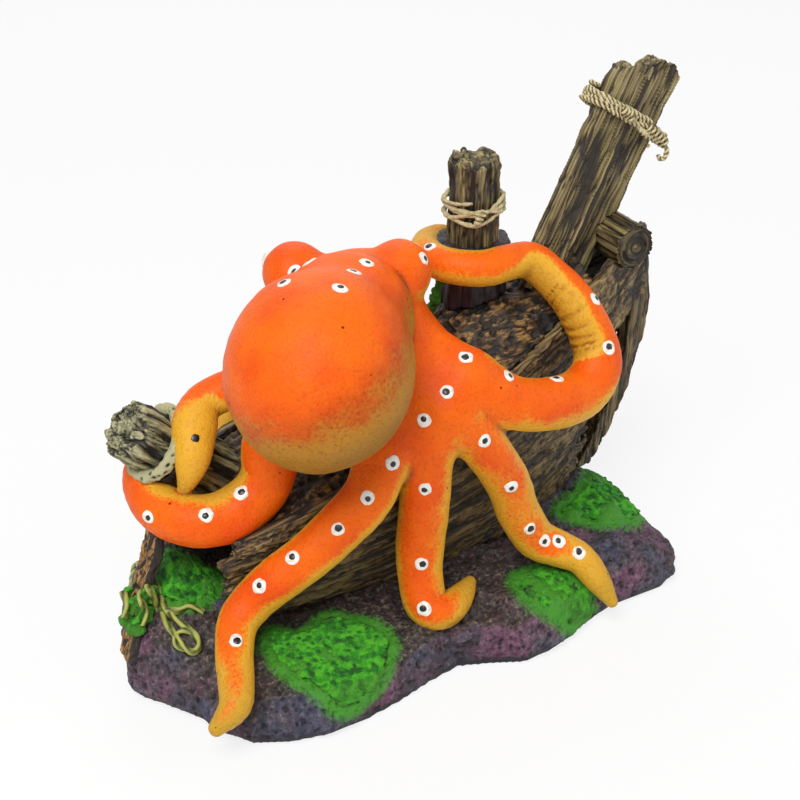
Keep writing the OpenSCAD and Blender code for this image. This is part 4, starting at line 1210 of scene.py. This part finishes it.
@dataclass
class Moss:
    """The rough green pads on the rock, the tuft on the deck and the fringe over the broken plank."""

    paint: Paint
    on_rock: tuple = ("moss_front", "moss_left", "moss_right_front", "moss_right_rear")
    thinned: float = 0.88
    voxel: float = 0.42
    clump: float = 1.35
    height: float = 0.6
    # The fringe's clumps, in the photograph's pixels, and their half sizes
    fringe: tuple = ((128, 596), (134, 606), (129, 617), (141, 602), (145, 615), (137, 627), (152, 606),
                     (150, 594))
    fringe_half: Place = (2.6, 1.5, 2.6)
    # The lower and the upper end of the leaf beside the tuft, and its half width at shares of the way up
    leaf: tuple = ((13.6, 10.2, 76.5), (15.3, 6.8, 87.5))
    leaf_widths: tuple = ((0, 1.1), (0.25, 1.3), (0.5, 1.7), (0.75, 1.6), (1, 0.9))

    @staticmethod
    def ball(centre: Array, half: tuple) -> Piece:
        """A rounded clump, by its centre and its half sizes in millimetres."""
        clump = sphere(16, 10)
        move_to(clump, points_of(clump) * MM * np.array(half) + centre)
        return clump

    def shape(self, node: str, studio: Studio) -> Piece:
        """A pad's plain form: its node's, with the leaf beside the tuft, or the fringe's clumps."""
        if node == "moss_fringe":
            trees = [tree_of(frame["nodes"][under]) for under in ("end_plank", "moss_left", "rock_base")]
            places = [np.array(studio.seen(trees, x, y)[0]) / MM for x, y in self.fringe]
            return joined([self.ball(place, self.fringe_half) for place in places], "Moss_fringe")
        pad = copy_of(node)
        if node == "moss_deck":
            low, high = (np.array(end) + SHIFT for end in self.leaf)
            blade = [self.ball(low + share * (high - low), (wide, 0.8 * wide, 1.5 * wide))
                     for share, wide in self.leaf_widths]
            return joined([pad, *blade], "Moss_deck")
        return pad

    def thin(self, points: Array, rock: BVHTree) -> None:
        """Lets a pad's points lie lower on the rock."""
        for point in points:
            under = rock.ray_cast(Vector(point * MM) + Vector((0, 0, 0.05)), Vector((0, 0, -1)))[0]
            if under is not None:
                point[2] -= self.thinned * max(point[2] - under.z / MM, 0)

    def build(self, studio: Studio) -> list[Piece]:
        """Builds and dresses the pads.

        Args:
            studio: The camera, whose pixels place the fringe.

        Returns:
            The pads that lie on the rock.
        """
        rock = tree_of(frame["nodes"]["rock_base"])
        pads = []
        for node in (*self.on_rock, "moss_deck", "moss_fringe"):
            piece = remeshed(self.shape(node, studio), self.voxel)
            points, normals = points_of(piece), normals_of(piece)
            if node in self.on_rock:
                self.thin(points, rock)
                pads.append(piece)
            side = 1 - eased(np.abs(normals[:, 2]), 0.3, 0.8)
            clumps = layered(points / self.clump, 51, 3)
            holes = pitted(points, 2.6, 0.3, 0.22, 57)
            lift = self.height * (0.75 * clumps - 1.1 * holes) + side * (1.6 * noise(points / 3.4, 61) - 0.2)
            move_to(piece, points + normals * lift[:, None])
            store(piece, "height", np.clip(0.5 + 0.5 * clumps - 0.6 * holes, 0, 1))
            store(piece, "rim", side)
            finished(piece, self.paint, "moss", *[node] * (node != "moss_fringe"))
        return pads


@dataclass
class Vine:
    """The twisted vine on the rock's left shoulder."""

    paint: Paint
    diameter: float = 2.0
    lay: float = 16.0
    # Each strand, in the photograph's pixels
    strands: tuple = (
        ((141, 576), (150, 590), (158, 607), (168, 625), (180, 641), (191, 652), (199, 647), (196, 635),
         (184, 630), (175, 636), (177, 646), (187, 650)),
        ((155, 584), (161, 596), (166, 608), (176, 620), (190, 630), (199, 643)),
        ((143, 582), (133, 586), (126, 580), (127, 570), (136, 565), (146, 569), (148, 578), (140, 584)),
        ((131, 568), (124, 578), (123, 592), (127, 606), (124, 618)),
        ((140, 584), (140, 598), (146, 612), (143, 626)),
        ((166, 610), (178, 611), (190, 606), (204, 612)),
    )

    def build(self, studio: Studio, ground: list[Piece]) -> None:
        """Builds and dresses the vine, laid over what is under it.

        Args:
            studio: The camera, whose pixels place the vine's points.
            ground: What the vine lies on.
        """
        trees = [tree_of(piece) for piece in ground]
        routes, radii = [], []
        for strand in self.strands:
            seen = [(studio.seen(trees, x, y), studio.ray(x, y)) for x, y in strand]
            rows = [np.array(hit[0]) / MM - np.array(way) * self.diameter * 0.4 for hit, way in seen if hit]
            if len(rows) > 2:
                route = even_route(smooth_route(np.array(rows), 6))
                share = np.linspace(0, 1, len(route))
                routes.append(route)
                radii.append(self.diameter / 2 * (1 - 0.3 * share) * (1 + 0.2 * noise(route / 1.8, 5)))
        finished(swept("Vine", routes, radii, 2, self.lay), self.paint, "vine", "vine")


# The octopus


class Part(Enum):
    """The pieces that the octopus's skin is parted into."""

    HEAD = 0
    ARM_1 = 1
    ARM_2 = 2
    ARM_3 = 3
    ARM_4 = 4
    ARM_5 = 5
    ARM_6 = 6
    ARM_7 = 7
    ARM_8 = 8
    MANTLE = 9

# Each arm's stations: shares of the base's length and depth and of the seat's height, then of the
# arm's thickness
ARM_SHARES = (
    ((-0.11, -0.02, 1.22, 0.95), (-0.21, 0.03, 1.19, 0.84), (-0.285, 0.08, 1.14, 0.78),
     (-0.338, 0.09, 1.095, 0.73), (-0.366, 0.05, 1.035, 0.84), (-0.384, 0.0, 0.965, 0.68),
     (-0.397, -0.015, 0.885, 0.42), (-0.411, -0.01, 0.8, 0.16)),
    ((-0.09, -0.12, 1.13, 1), (-0.18, -0.1, 1.09, 1), (-0.262, -0.06, 1, 1), (-0.275, -0.075, 0.87, 1),
     (-0.302, -0.085, 0.78, 1), (-0.35, -0.085, 0.725, 1), (-0.402, -0.06, 0.72, 0.98),
     (-0.438, 0.02, 0.735, 0.92), (-0.446, 0.1, 0.78, 0.8), (-0.43, 0.17, 0.82, 0.6), (-0.4, 0.2, 0.84, 0.3)),
    ((-0.07, -0.13, 1.12, 1), (-0.12, -0.23, 1, 1), (-0.16, -0.27, 0.84, 0.96),
     (-0.213, -0.262, 0.71, 0.92), (-0.262, -0.25, 0.61, 0.9), (-0.31, -0.235, 0.53, 0.86),
     (-0.35, -0.215, 0.44, 0.8), (-0.385, -0.23, 0.375, 0.76), (-0.41, -0.29, 0.325, 0.7),
     (-0.428, -0.36, 0.28, 0.66), (-0.448, -0.42, 0.24, 0.58), (-0.485, -0.44, 0.19, 0.3)),
    ((-0.055, -0.12, 1.14, 1), (-0.053, -0.25, 0.99, 0.98), (-0.06, -0.275, 0.76, 0.94),
     (-0.065, -0.27, 0.56, 0.92), (-0.072, -0.285, 0.39, 0.88), (-0.076, -0.33, 0.27, 0.82),
     (-0.055, -0.36, 0.25, 0.7), (-0.018, -0.34, 0.25, 0.52), (0.02, -0.3, 0.26, 0.25)),
    ((-0.03, -0.12, 1.2, 1), (-0.015, -0.255, 1.11, 0.96), (0.048, -0.285, 0.905, 0.9),
     (0.098, -0.285, 0.68, 0.86), (0.122, -0.285, 0.51, 0.84), (0.152, -0.3, 0.37, 0.8),
     (0.182, -0.34, 0.33, 0.72), (0.213, -0.375, 0.285, 0.62), (0.226, -0.43, 0.215, 0.52),
     (0.238, -0.475, 0.13, 0.26)),
    ((-0.015, -0.1, 1.24, 1), (0.03, -0.23, 1.2, 1), (0.098, -0.285, 1.08, 1), (0.182, -0.29, 1.02, 1),
     (0.246, -0.27, 1.015, 0.98), (0.282, -0.25, 1.085, 0.94), (0.29, -0.21, 1.18, 0.9),
     (0.274, -0.16, 1.322, 0.84), (0.263, -0.09, 1.395, 0.78), (0.229, -0.038, 1.482, 0.72)),
    ((0, 0.04, 1.24, 0.9), (0.038, 0.16, 1.19, 0.86), (0.05, 0.28, 1.12, 0.8), (0.056, 0.36, 1, 0.76),
     (0.044, 0.395, 0.76, 0.72), (0.028, 0.395, 0.56, 0.68), (0.038, 0.405, 0.38, 0.62),
     (0.08, 0.42, 0.28, 0.5), (0.125, 0.4, 0.255, 0.25)),
    ((-0.09, 0.06, 1.24, 0.9), (-0.135, 0.18, 1.13, 0.86), (-0.16, 0.28, 1.02, 0.8),
     (-0.185, 0.355, 0.88, 0.76), (-0.21, 0.385, 0.68, 0.72), (-0.235, 0.39, 0.5, 0.68),
     (-0.275, 0.41, 0.36, 0.6), (-0.33, 0.42, 0.285, 0.5), (-0.365, 0.39, 0.26, 0.25)),
)


@dataclass
class Octopus:
    """The octopus's skin: head, mantle and eight arms drawn together as one soft form and then parted."""

    paint: Paint
    base: Place = (160.0, 100.0, 62.88)
    arm_diameter: float = 14.0
    head_radius: float = 16.5
    web_radius: float = 13.86
    mound_radius: float = 8.0
    neck_radius: float = 17.0
    neck_end_radius: float = 21.0
    neck_shift: Place = (-1.6, -2.8, 4.4)
    mantle_half: Place = (22.5, 22.5, 24.5)
    # Shares of the base's sizes, and directions
    head_at: Place = (-0.0875, -0.01, 1.42)
    web_at: Place = (-0.045, -0.07, 1.2)
    mound_ways: tuple = ((-0.86, 0.44, 0.7), (0.5, -0.4, 0.76))
    mantle_way: Place = (-0.56, -0.67, -0.49)
    mantle_side: Place = (0.77, -0.64, 0)
    neck_way: Place = (-0.68, -0.73, 0.08)
    # The sixth arm's wrap round the bollard, with its turns in degrees and its thickness at each of them
    wrap_centre: Place = (26.0, 8.0, 94.6)
    wrap_radius: float = 12.7
    wrap_turns: tuple = (-75, -100, -125, -150, -175, -200, -225, -250, -270)
    wrap_shares: tuple = (0.68, 0.68, 0.68, 0.68, 0.66, 0.64, 0.58, 0.46, 0.24)
    # The middles of the open loops of the sixth arm, and of the first two
    loop_centre: Place = (27.0, -22.0, 84.0)
    left_loop_centre: Place = (-54.0, -4.0, 58.0)
    rough_voxel: float = 0.9
    voxel: float = 0.62
    # How round the creases are: by the web, far from it, at the mantle's neck, and under and over the mantle
    web_fillet: float = 1.7
    far_fillet: float = 0.35
    neck_fillet: float = 0.8
    under_fillet: float = 0.4
    over_fillet: float = 0.9
    rim_depth: float = 1.4
    fold_gap: float = 0.016
    crease_steps: int = 14
    # The ways that the golden undersides face
    near_belly: Place = (0.44, 0.55, -0.7)
    far_belly: Place = (0, -0.35, -0.94)
    head_belly: Place = (0.2, -0.2, -0.96)
    mantle_belly: Place = (0.35, 0.0, -0.94)

    def __post_init__(self) -> None:
        """Works out the head, the mantle and the arms' routes from the sizes."""
        base = np.array(self.base)
        self.head = np.array(self.head_at) * base + SHIFT
        self.web = np.array(self.web_at) * base + SHIFT
        self.mounds = [self.head + self.head_radius * np.array(way) for way in self.mound_ways]
        way, side = unit(np.array(self.mantle_way)), unit(np.array(self.mantle_side))
        self.mantle_axes = np.stack([side, np.cross(way, side), way])
        reach = 0.62 * 2 * self.mantle_half[0] + 0.55 * self.head_radius
        self.mantle = self.head + reach * unit(np.array(self.neck_way))
        # The middle of the mantle's upper end, in front of the head and a little over it
        self.neck = self.head + 0.34 * (self.mantle - self.head) + self.neck_shift
        self.routes, self.radii = [], []
        for arm, shares in enumerate(ARM_SHARES, 1):
            table = np.array(shares)
            rows = np.column_stack([table[:, :3] * base, table[:, 3]])
            if arm == Part.ARM_6.value:
                turns = np.radians(self.wrap_turns)
                ring = np.column_stack([np.cos(turns), np.sin(turns), 0 * turns])
                wrap = np.array(self.wrap_centre) + self.wrap_radius * ring
                rows = np.vstack([rows, np.column_stack([wrap, self.wrap_shares])])
            line = smooth_route(rows, 4)
            self.routes.append(line[:, :3] + SHIFT)
            self.radii.append(np.maximum(line[:, 3], 0.2) * self.arm_diameter / 2)

    @staticmethod
    def to_chain(points: Array, route: Array, radii: Array) -> tuple[Array, Array]:
        """How far points are outside a chain of cones, and how far along it.

        Args:
            points: Places in millimetres.
            route: The chain's joints.
            radii: Its radius at each joint.

        Returns:
            The distance from the chain's surface, and the station from 0 to 1.
        """
        best, station = np.full(len(points), 99.0), np.zeros(len(points))
        margin = radii.max() + 9
        near = np.where(np.all((points > route.min(0) - margin) & (points < route.max(0) + margin),
                               axis=1))[0]
        inside = points[near]
        low, place = np.full(len(near), 99.0), np.zeros(len(near))
        for k in range(len(route) - 1):
            along = route[k + 1] - route[k]
            share = np.clip((inside - route[k]) @ along / (along @ along), 0, 1)
            gap = np.linalg.norm(inside - route[k] - share[:, None] * along, axis=1)
            gap -= radii[k] + (radii[k + 1] - radii[k]) * share
            closer = gap < low
            low[closer] = gap[closer]
            place[closer] = (k + share[closer]) / (len(route) - 1)
        best[near], station[near] = low, place
        return best, station

    def to_cone(self, points: Array, first: Array, last: Array, *radii: float) -> Array:
        """How far points are outside one cone with round ends."""
        return self.to_chain(points, np.stack([first, last]), np.array(radii))[0]

    def to_mantle(self, points: Array) -> Array:
        """How far points are outside the mantle's bulb and its neck."""
        local = (points - self.mantle) @ self.mantle_axes.T
        half = np.array(self.mantle_half)
        reach = np.linalg.norm(local / half, axis=1)
        slope = np.maximum(np.linalg.norm(local / half ** 2, axis=1), 1e-6)
        neck = self.to_cone(points, self.neck, self.mantle, self.neck_radius, self.neck_end_radius)
        return self.together([reach * (reach - 1) / slope, neck], np.full(len(points), self.neck_fillet))

    @staticmethod
    def together(gaps: list[Array], fillet: Array) -> Array:
        """The least of several distances, with its creases filled by a radius at each point."""
        stack = np.stack(gaps)
        low = stack.min(0)
        return low - fillet * np.log(np.exp(-(stack - low) / fillet).sum(0))

    def gaps(self, points: Array) -> tuple[Array, Array, Array]:
        """How far points are outside the skin.

        Args:
            points: Places in millimetres.

        Returns:
            The distance from the whole skin, each part's own distance, and the station along the nearest arm.
        """
        body = [self.to_cone(points, self.head, self.web, self.head_radius, self.web_radius)]
        for mound in self.mounds:
            body.append(self.to_cone(points, mound, (mound + self.head) / 2, self.mound_radius,
                                     self.mound_radius))
        for route, radii in zip(self.routes, self.radii):
            body.append(self.to_cone(points, self.web, route[4], self.web_radius * 0.8, radii[4]))
        arms = [self.to_chain(points, route, radii) for route, radii in zip(self.routes, self.radii)]
        away = np.linalg.norm(points - self.web, axis=1)
        fillet = self.far_fillet + (self.web_fillet - self.far_fillet) * (1 - eased(away, 24, 42))
        head = self.together(body, fillet)
        limbs = self.together([head] + [arm[0] for arm in arms], fillet)
        mantle = self.to_mantle(points)
        # The mantle flows into the head above, and hangs free of the arms with a sharp crease below
        over = eased((points - self.head) @ np.array([0.25, 0.2, 0.95]), -12, 6)
        skin = self.together([limbs, mantle],
                             self.under_fillet + (self.over_fillet - self.under_fillet) * over)
        parts = np.stack([head] + [arm[0] for arm in arms] + [mantle])
        nearest = np.argmin(parts[1:9], axis=0)
        return skin, parts, np.choose(nearest, [arm[1] for arm in arms])

    def rough_form(self) -> Piece:
        """Overlapping balls and tubes that the skin is drawn over."""
        lines = [even_route(np.column_stack([r, w]), 2.0) for r, w in zip(self.routes, self.radii)]
        pieces = [swept("Arms", [line[:, :3] for line in lines], [line[:, 3] for line in lines])]
        balls = [(self.head, self.head_radius), (self.web, self.web_radius + 1),
                 (self.mantle, self.mantle_half[0] + 0.5), (self.neck, self.neck_radius)]
        balls += [(mound, self.mound_radius) for mound in self.mounds]
        for end in (0, -1):
            balls += [(route[end], radii[end]) for route, radii in zip(self.routes, self.radii)]
        pieces += [sphere(32, 16, radius * MM, centre * MM) for centre, radius in balls]
        return remeshed(joined(pieces, "Skin"), self.rough_voxel)

    def drawn(self, piece: Piece, times: int, step: float) -> None:
        """Draws a mesh onto the skin, in steps along its normals, and evens it out between them."""
        for k in range(times):
            if k:
                edit(piece, (bpy.ops.mesh.vertices_smooth, {"factor": 0.5, "repeat": 1}))
            push(piece, -np.clip(self.gaps(points_of(piece))[0], -step, step))

    def build(self) -> BVHTree:
        """Builds the skin, paints it and parts it.

        Returns:
            A search tree over the whole skin.
        """
        skin = self.rough_form()
        self.drawn(skin, 5, 1.5)
        remeshed(skin, self.voxel)
        self.drawn(skin, 3, 0.6)
        points, normals = points_of(skin), normals_of(skin)
        _, parts, station = self.gaps(points)
        arm = np.argmin(parts[1:9], axis=0) + 1
        on_arm = parts[1:9].min(0) < np.minimum(parts[0], parts[9])
        folds = self.folds(points, normals, arm, station) * on_arm
        push(skin, 0.22 * noise(points / 8, 2) + 0.1 * noise(points / 3, 4) - folds)
        self.paint_skin(skin, points, arm, station, on_arm, parts[9] < parts[:9].min(0))
        store(skin, "true_normal", normals_of(skin))
        tree = tree_of(skin)
        # The head and the mantle reach a little past their own edges
        self.part(skin, np.argmin(parts - np.array([0.6] + [0] * 8 + [0.3])[:, None], axis=0))
        return tree

    def hollow(self, piece: Piece) -> Array:
        """How deep each vertex lies in a crease, in millimetres."""
        ends = np.empty(len(piece.data.edges) * 2, dtype=np.int64)
        piece.data.edges.foreach_get("vertices", ends)
        near, far = ends.reshape(-1, 2).T
        first, last = np.concatenate([near, far]), np.concatenate([far, near])
        points = level = points_of(piece)
        count = np.bincount(first, minlength=len(points))[:, None]
        for _ in range(self.crease_steps):
            level = np.stack([np.bincount(first, level[last, k], len(points)) for k in range(3)],
                             axis=1) / count
        return ((level - points) * normals_of(piece)).sum(1)

    def folds(self, points: Array, normals: Array, arm: Array, station: Array) -> Array:
        """Depth of the skin folds on the inner side of the sixth arm's loop."""
        inner = eased((unit(self.loop_centre + SHIFT - points) * normals).sum(1), 0.1, 0.6)
        span = eased(station, 0.3, 0.33) * (1 - eased(station, 0.42, 0.46))
        turn = station * 2 * math.pi / self.fold_gap + 1.5 * noise(points / 4, 3)
        return 0.8 * (arm == Part.ARM_6.value) * inner * span * (0.5 + 0.5 * np.cos(turn))

    def paint_skin(self, piece: Piece, points: Array, arm: Array, station: Array, on_arm: Array,
                   on_mantle: Array) -> None:
        """Keeps how golden each vertex is and how much painted shade darkens it, for the finish.

        Args:
            piece: The whole skin.
            points: Its vertices, before the fine lumps.
            arm: The number of the nearest arm.
            station: How far along that arm.
            on_arm: Whether it is on an arm.
            on_mantle: Whether it is on the mantle.
        """
        belly = np.tile(np.array(self.near_belly), (len(points), 1))
        belly[on_arm & (arm >= Part.ARM_7.value)] = self.far_belly
        belly[~on_arm & ~on_mantle] = self.head_belly
        # Inside its open loop an arm's underside faces the loop's middle
        left, right = np.array(self.left_loop_centre) + SHIFT, self.loop_centre + SHIFT
        kept = np.zeros(len(points))
        for part, centre, first, last, held in ((Part.ARM_1, left, 0.3, 1.2, 0.2),
                                                (Part.ARM_2, left, 0.25, 1.2, 0.8),
                                                (Part.ARM_6, right, 0.24, 0.5, 0.5)):
            here = (arm == part.value) & on_arm
            share = (eased(station[here], first, first + 0.1) * (1 - eased(station[here], last,
                                                                           last + 0.1)))[:, None]
            belly[here] = unit(belly[here] * (1 - share) + unit(centre - points[here]) * share)
            kept[here] = held * share[:, 0]
        belly[on_mantle] = self.mantle_belly
        facing = (unit(belly) * normals_of(piece)).sum(1)
        wide = facing + 0.14 * layered(points / 7, 91, 2)
        gold = np.where(on_mantle, eased(wide, -0.45, 0.25), eased(wide, 0.1, 0.8))
        gold = np.where(on_arm, eased(wide + 0.5 * (station - 0.3) - kept, -0.85, -0.1), gold)
        # The tips fade to yellow, and some arms are yellow all round from a station on
        tip = eased(station, 0.7, 1.0) * on_arm
        gold += tip * eased(wide - kept, -0.75, 0.25)
        for part, first, last in ((Part.ARM_1, 0.3, 0.46), (Part.ARM_3, 0.64, 0.98), (Part.ARM_4, 0.68, 0.86),
                                  (Part.ARM_5, 0.45, 0.75)):
            gold += on_arm * (arm == part.value) * eased(station + 0.15 * wide, first, last)
        store(piece, "gold", np.clip(gold, 0, 1))
        # Painted shade turns the undersides from gold to ochre; the arms' tips turn ochre too, as their own
        # olive
        store(piece, "shadow",
              np.where(on_mantle, eased(facing, 0.1, 0.6), 0.7 * tip + 0.4 * eased(facing, 0.1, 0.9)))
        # Painted shade: darker on the undersides and in the creases
        under = np.where(on_mantle, 0.5 * eased(facing, -0.6, 0.0), 0.12 * eased(facing, 0.2, 0.9))
        store(piece, "crease", under + 0.75 * eased(self.hollow(piece), 0.08, 0.5))

    def part(self, skin: Piece, labels: Array) -> None:
        """Parts the skin into closed pieces that keep the whole skin's shading.

        Args:
            skin: The whole skin.
            labels: Which part each vertex is on.
        """
        faces = labels[[face.vertices[0] for face in skin.data.polygons]]
        for kind in Part:
            piece = added(kind.name.capitalize(), skin.data.copy())
            choose(piece)
            bpy.ops.object.mode_set(mode="EDIT")
            bpy.ops.mesh.select_mode(type="FACE")
            bpy.ops.mesh.select_all(action="DESELECT")
            bpy.ops.object.mode_set(mode="OBJECT")
            piece.data.polygons.foreach_set("select", faces != kind.value)
            bpy.ops.object.mode_set(mode="EDIT")
            bpy.ops.mesh.delete(type="FACE")
            bpy.ops.mesh.select_mode(type="VERT")
            # The open rim turns inwards under the next part before it is closed
            bpy.ops.mesh.select_all(action="DESELECT")
            bpy.ops.mesh.select_non_manifold()
            bpy.ops.mesh.extrude_edges_indiv()
            bpy.ops.object.mode_set(mode="OBJECT")
            turned = np.empty(len(piece.data.vertices), dtype=bool)
            piece.data.vertices.foreach_get("select", turned)
            inwards = self.rim_depth * turned[:, None] * read(piece.data.attributes["true_normal"].data,
                                                              "vector")
            move_to(piece, points_of(piece) - inwards)
            edit(piece, (bpy.ops.mesh.fill_holes, {"sides": 0}),
                 (bpy.ops.mesh.normals_make_consistent, {"inside": False}))
            finished(piece, self.paint, "octopus_skin", kind.name.lower())
            normals = read(piece.data.attributes["true_normal"].data, "vector")
            piece.data.normals_split_custom_set_from_vertices(normals.tolist())
        bpy.data.objects.remove(skin)


@dataclass
class Spots:
    """Raised white enamel dots with black pupils."""

    paints: dict[str, Paint]
    white: float = 3.75
    black: float = 2.2
    rise: float = 0.32
    sink: float = 0.5
    # How much a pupil stands over its dot, how far its back is over the skin, and how far it is off centre
    pupil_rise: float = 0.14
    pupil_back: float = 0.1
    off_middle: float = 0.22
    # Where the photograph shows the dots, in its pixels, and one open pore that is as dark as a pupil
    seen: tuple = (
        (340, 288), (354, 272), (366.6, 262.8), (284, 283), (294.5, 271), (309, 262), (447, 392),
        (424, 420), (393, 463), (466, 357), (509, 375.6), (557, 378.7), (609, 347.7), (595.5, 298.8),
        (430, 246), (485, 441), (511.5, 487), (530, 529), (545, 541), (559, 541), (579, 552.5),
        (425, 489), (421.6, 564), (424, 609), (367.5, 498), (338, 529), (292, 557.7), (259, 586),
        (236.4, 640.7), (148, 517), (206, 515), (240.7, 492.6), (424, 258),
    )
    pore: tuple = (195.5, 438)
    pore_rise: float = 0.05
    # Dots that it doesn't show, on the two far arms: the route, the station and the turn from straight up
    unseen: tuple = ((6, 0.22, 10), (6, 0.38, -15), (6, 0.52, 5), (6, 0.7, -10), (7, 0.2, -10), (7, 0.34, 15),
                     (7, 0.47, 0), (7, 0.62, 15), (7, 0.78, -5),)
    outward: Place = (0, 0.8, 0.6)

    def disc(self, tree: BVHTree, place: Vector, normal: Vector, diameter: float, rise: float, seed: int,
             sink: float) -> Piece:
        """One dab of enamel, laid on the skin.

        Args:
            tree: The skin.
            place: Its centre, in metres.
            normal: The way that it faces.
            diameter: Its size in millimetres.
            rise: Its height at the centre over the skin.
            seed: Which uneven outline it has.
            sink: How deep its back is under the skin.

        Returns:
            The dab.
        """
        dab = sphere(22, 12)
        flat = points_of(dab) * MM
        turn = np.arctan2(flat[:, 1], flat[:, 0])
        uneven = 1 + 0.13 * noise(np.column_stack([2 * np.cos(turn), 2 * np.sin(turn),
                                                   0 * turn]) + 9.1 * seed, seed)
        level = np.sign(flat[:, 2]) * np.abs(flat[:, 2]) ** 0.8
        axes = facing_way(normal)
        points = []
        for (x, y, _), spread, height in zip(flat, uneven, level):
            at = place + axes @ Vector((x * spread, y * spread, 0)) * (diameter / 2) * MM
            near, out, _, _ = tree.find_nearest(at)
            points.append(np.array(near + out * ((rise if height > 0 else sink) * height * MM)))
        move_to(dab, np.array(points) / MM)
        return dab

    def places(self, studio: Studio, octopus: Octopus, tree: BVHTree) -> list[tuple[Vector, Vector]]:
        """The dots' places and the ways that they face, first those that the photograph shows."""
        places = []
        for x, y in self.seen:
            # A dot that stands past the outline goes to the skin nearest to it
            beside = studio.eye() + studio.ray(x, y) * studio.distance * 0.93
            places.append(studio.seen([tree], x, y) or tree.find_nearest(beside)[:2])
        for arm, station, turn in self.unseen:
            route = octopus.routes[arm]
            k = station * (len(route) - 1)
            here = np.array([np.interp(k, range(len(route)), route[:, j]) for j in range(3)])
            ahead = unit(route[int(k) + 1] - route[int(k)])
            out = unit(np.array(self.outward) - (np.array(self.outward) @ ahead) * ahead)
            way = math.cos(math.radians(turn)) * out + math.sin(math.radians(turn)) * np.cross(ahead, out)
            place, normal, _, _ = tree.ray_cast(Vector((here + 15 * way) * MM), Vector(-way))
            if place is not None:
                places.append((place, normal))
        return places

    def build(self, studio: Studio, octopus: Octopus, tree: BVHTree) -> None:
        """Builds and dresses the dots.

        Args:
            studio: The camera whose pixels place the dots.
            octopus: The arms that they lie on.
            tree: The octopus's skin.
        """
        whites, blacks = [], []
        for k, (place, normal) in enumerate(self.places(studio, octopus, tree)):
            whites.append(self.disc(tree, place, normal, self.white * (1 + 0.07 * math.sin(1.7 * k)),
                                    self.rise, k, self.sink))
            aside = Matrix.Rotation(2.4 * k, 3, normal) @ normal.orthogonal().normalized()
            shift = aside * self.off_middle * MM
            blacks.append(self.disc(tree, place + shift, normal,
                                    self.black * (0.9 + 0.12 * math.sin(2.3 * k)),
                                    self.rise + self.pupil_rise, 100 + k, -self.pupil_back))
        place, normal = studio.seen([tree], *self.pore)
        blacks.append(self.disc(tree, place, normal, self.black, self.pore_rise, 200, -self.pupil_back))
        for colour, dabs in (("white", whites), ("black", blacks)):
            finished(joined(dabs, f"Spots_{colour}"), self.paints[colour], f"spot_{colour}",
                     f"spots_{colour}")


@dataclass
class Eyes:
    """The two eyes on the mounds' outer sides, each a ball with a pupil under a heavy lid."""

    paints: dict[str, Paint]
    diameter: float = 8.0
    ways: tuple = ((-0.45, 0.82, 0.3), (0.82, 0.5, 0.3))
    # The pupil's half width and its length over its width, and the lid's gold
    pupil: float = 0.5
    pupil_long: float = 1.6
    lid_gold: float = 0.1

    @staticmethod
    def stand(piece: Piece, centre: Array, way: Array) -> None:
        """Points a mesh some way and puts it at a centre."""
        piece.data.transform(facing_way(way).to_4x4())
        piece.data.transform(Matrix.Translation(Vector(centre * MM)))

    def build(self, octopus: Octopus) -> None:
        """Builds and dresses the eyes.

        Args:
            octopus: The head that they sit in.
        """
        for name, mound, way in zip(("left", "right"), octopus.mounds, self.ways):
            way = unit(np.array(way))
            ball, lid = self.ball(), self.lid()
            for part in (ball, lid):
                self.stand(part, mound + (octopus.mound_radius - self.diameter / 3) * way, way)
            finished(joined([ball, lid], f"Eye_{name}"), None, "spot_white", f"eye_{name}")

    def ball(self) -> Piece:
        """An eyeball that looks up, with its pupil a little raised."""
        ball = sphere(40, 24, self.diameter / 2 * MM)
        points = points_of(ball)
        across = np.hypot(points[:, 0], points[:, 1] * self.pupil_long) / (self.diameter / 2)
        pupil = (across < self.pupil) & (points[:, 2] > 0)
        move_to(ball, points * (1 + 0.02 * pupil)[:, None])
        for colour in ("white", "black"):
            ball.data.materials.append(self.paints[colour])
        for face in ball.data.polygons:
            face.material_index = int(all(pupil[v] for v in face.vertices))
        return ball

    def lid(self) -> Piece:
        """The swollen rim round an eye that looks up."""
        bpy.ops.mesh.primitive_torus_add(major_segments=40, minor_segments=12,
                                         major_radius=self.diameter * 0.41 * MM,
                                         minor_radius=self.diameter * 0.1 * MM)
        ring = bpy.context.object
        points = points_of(ring)
        points[:, 2] += 0.6 * (points[:, 1] > 0) * np.abs(points[:, 1]) / self.diameter + 0.7
        move_to(ring, points * (1 + 0.04 * noise(points / 2, 8)[:, None]))
        ring.data.materials.append(self.paints["skin"])
        store(ring, "gold", np.full(len(points), self.lid_gold))
        return ring


def main() -> None:
    """Builds the ornament and its studio."""
    logging.basicConfig(level=logging.INFO, format="%(message)s")
    studio = Studio()
    studio.build()
    paints = {name: finish.material() for name, finish in FINISHES.items()}
    pads = Moss(paints["moss"]).build(studio)
    Rock(paints["rock"]).build(pads)
    Hull(paints).build()
    Deck(paints).build()
    for piece in (*POSTS, *LASHINGS):
        piece.build(paints)
    octopus = Octopus(paints["skin"])
    skin = octopus.build()
    Eyes(paints).build(octopus)
    Spots(paints).build(studio, octopus, skin)
    Vine(paints["vine"]).build(studio,
                               [bpy.data.objects[n] for n in ("Rock_base", "Moss_left", "Moss_fringe")])


if __name__ == "__main__":
    main()
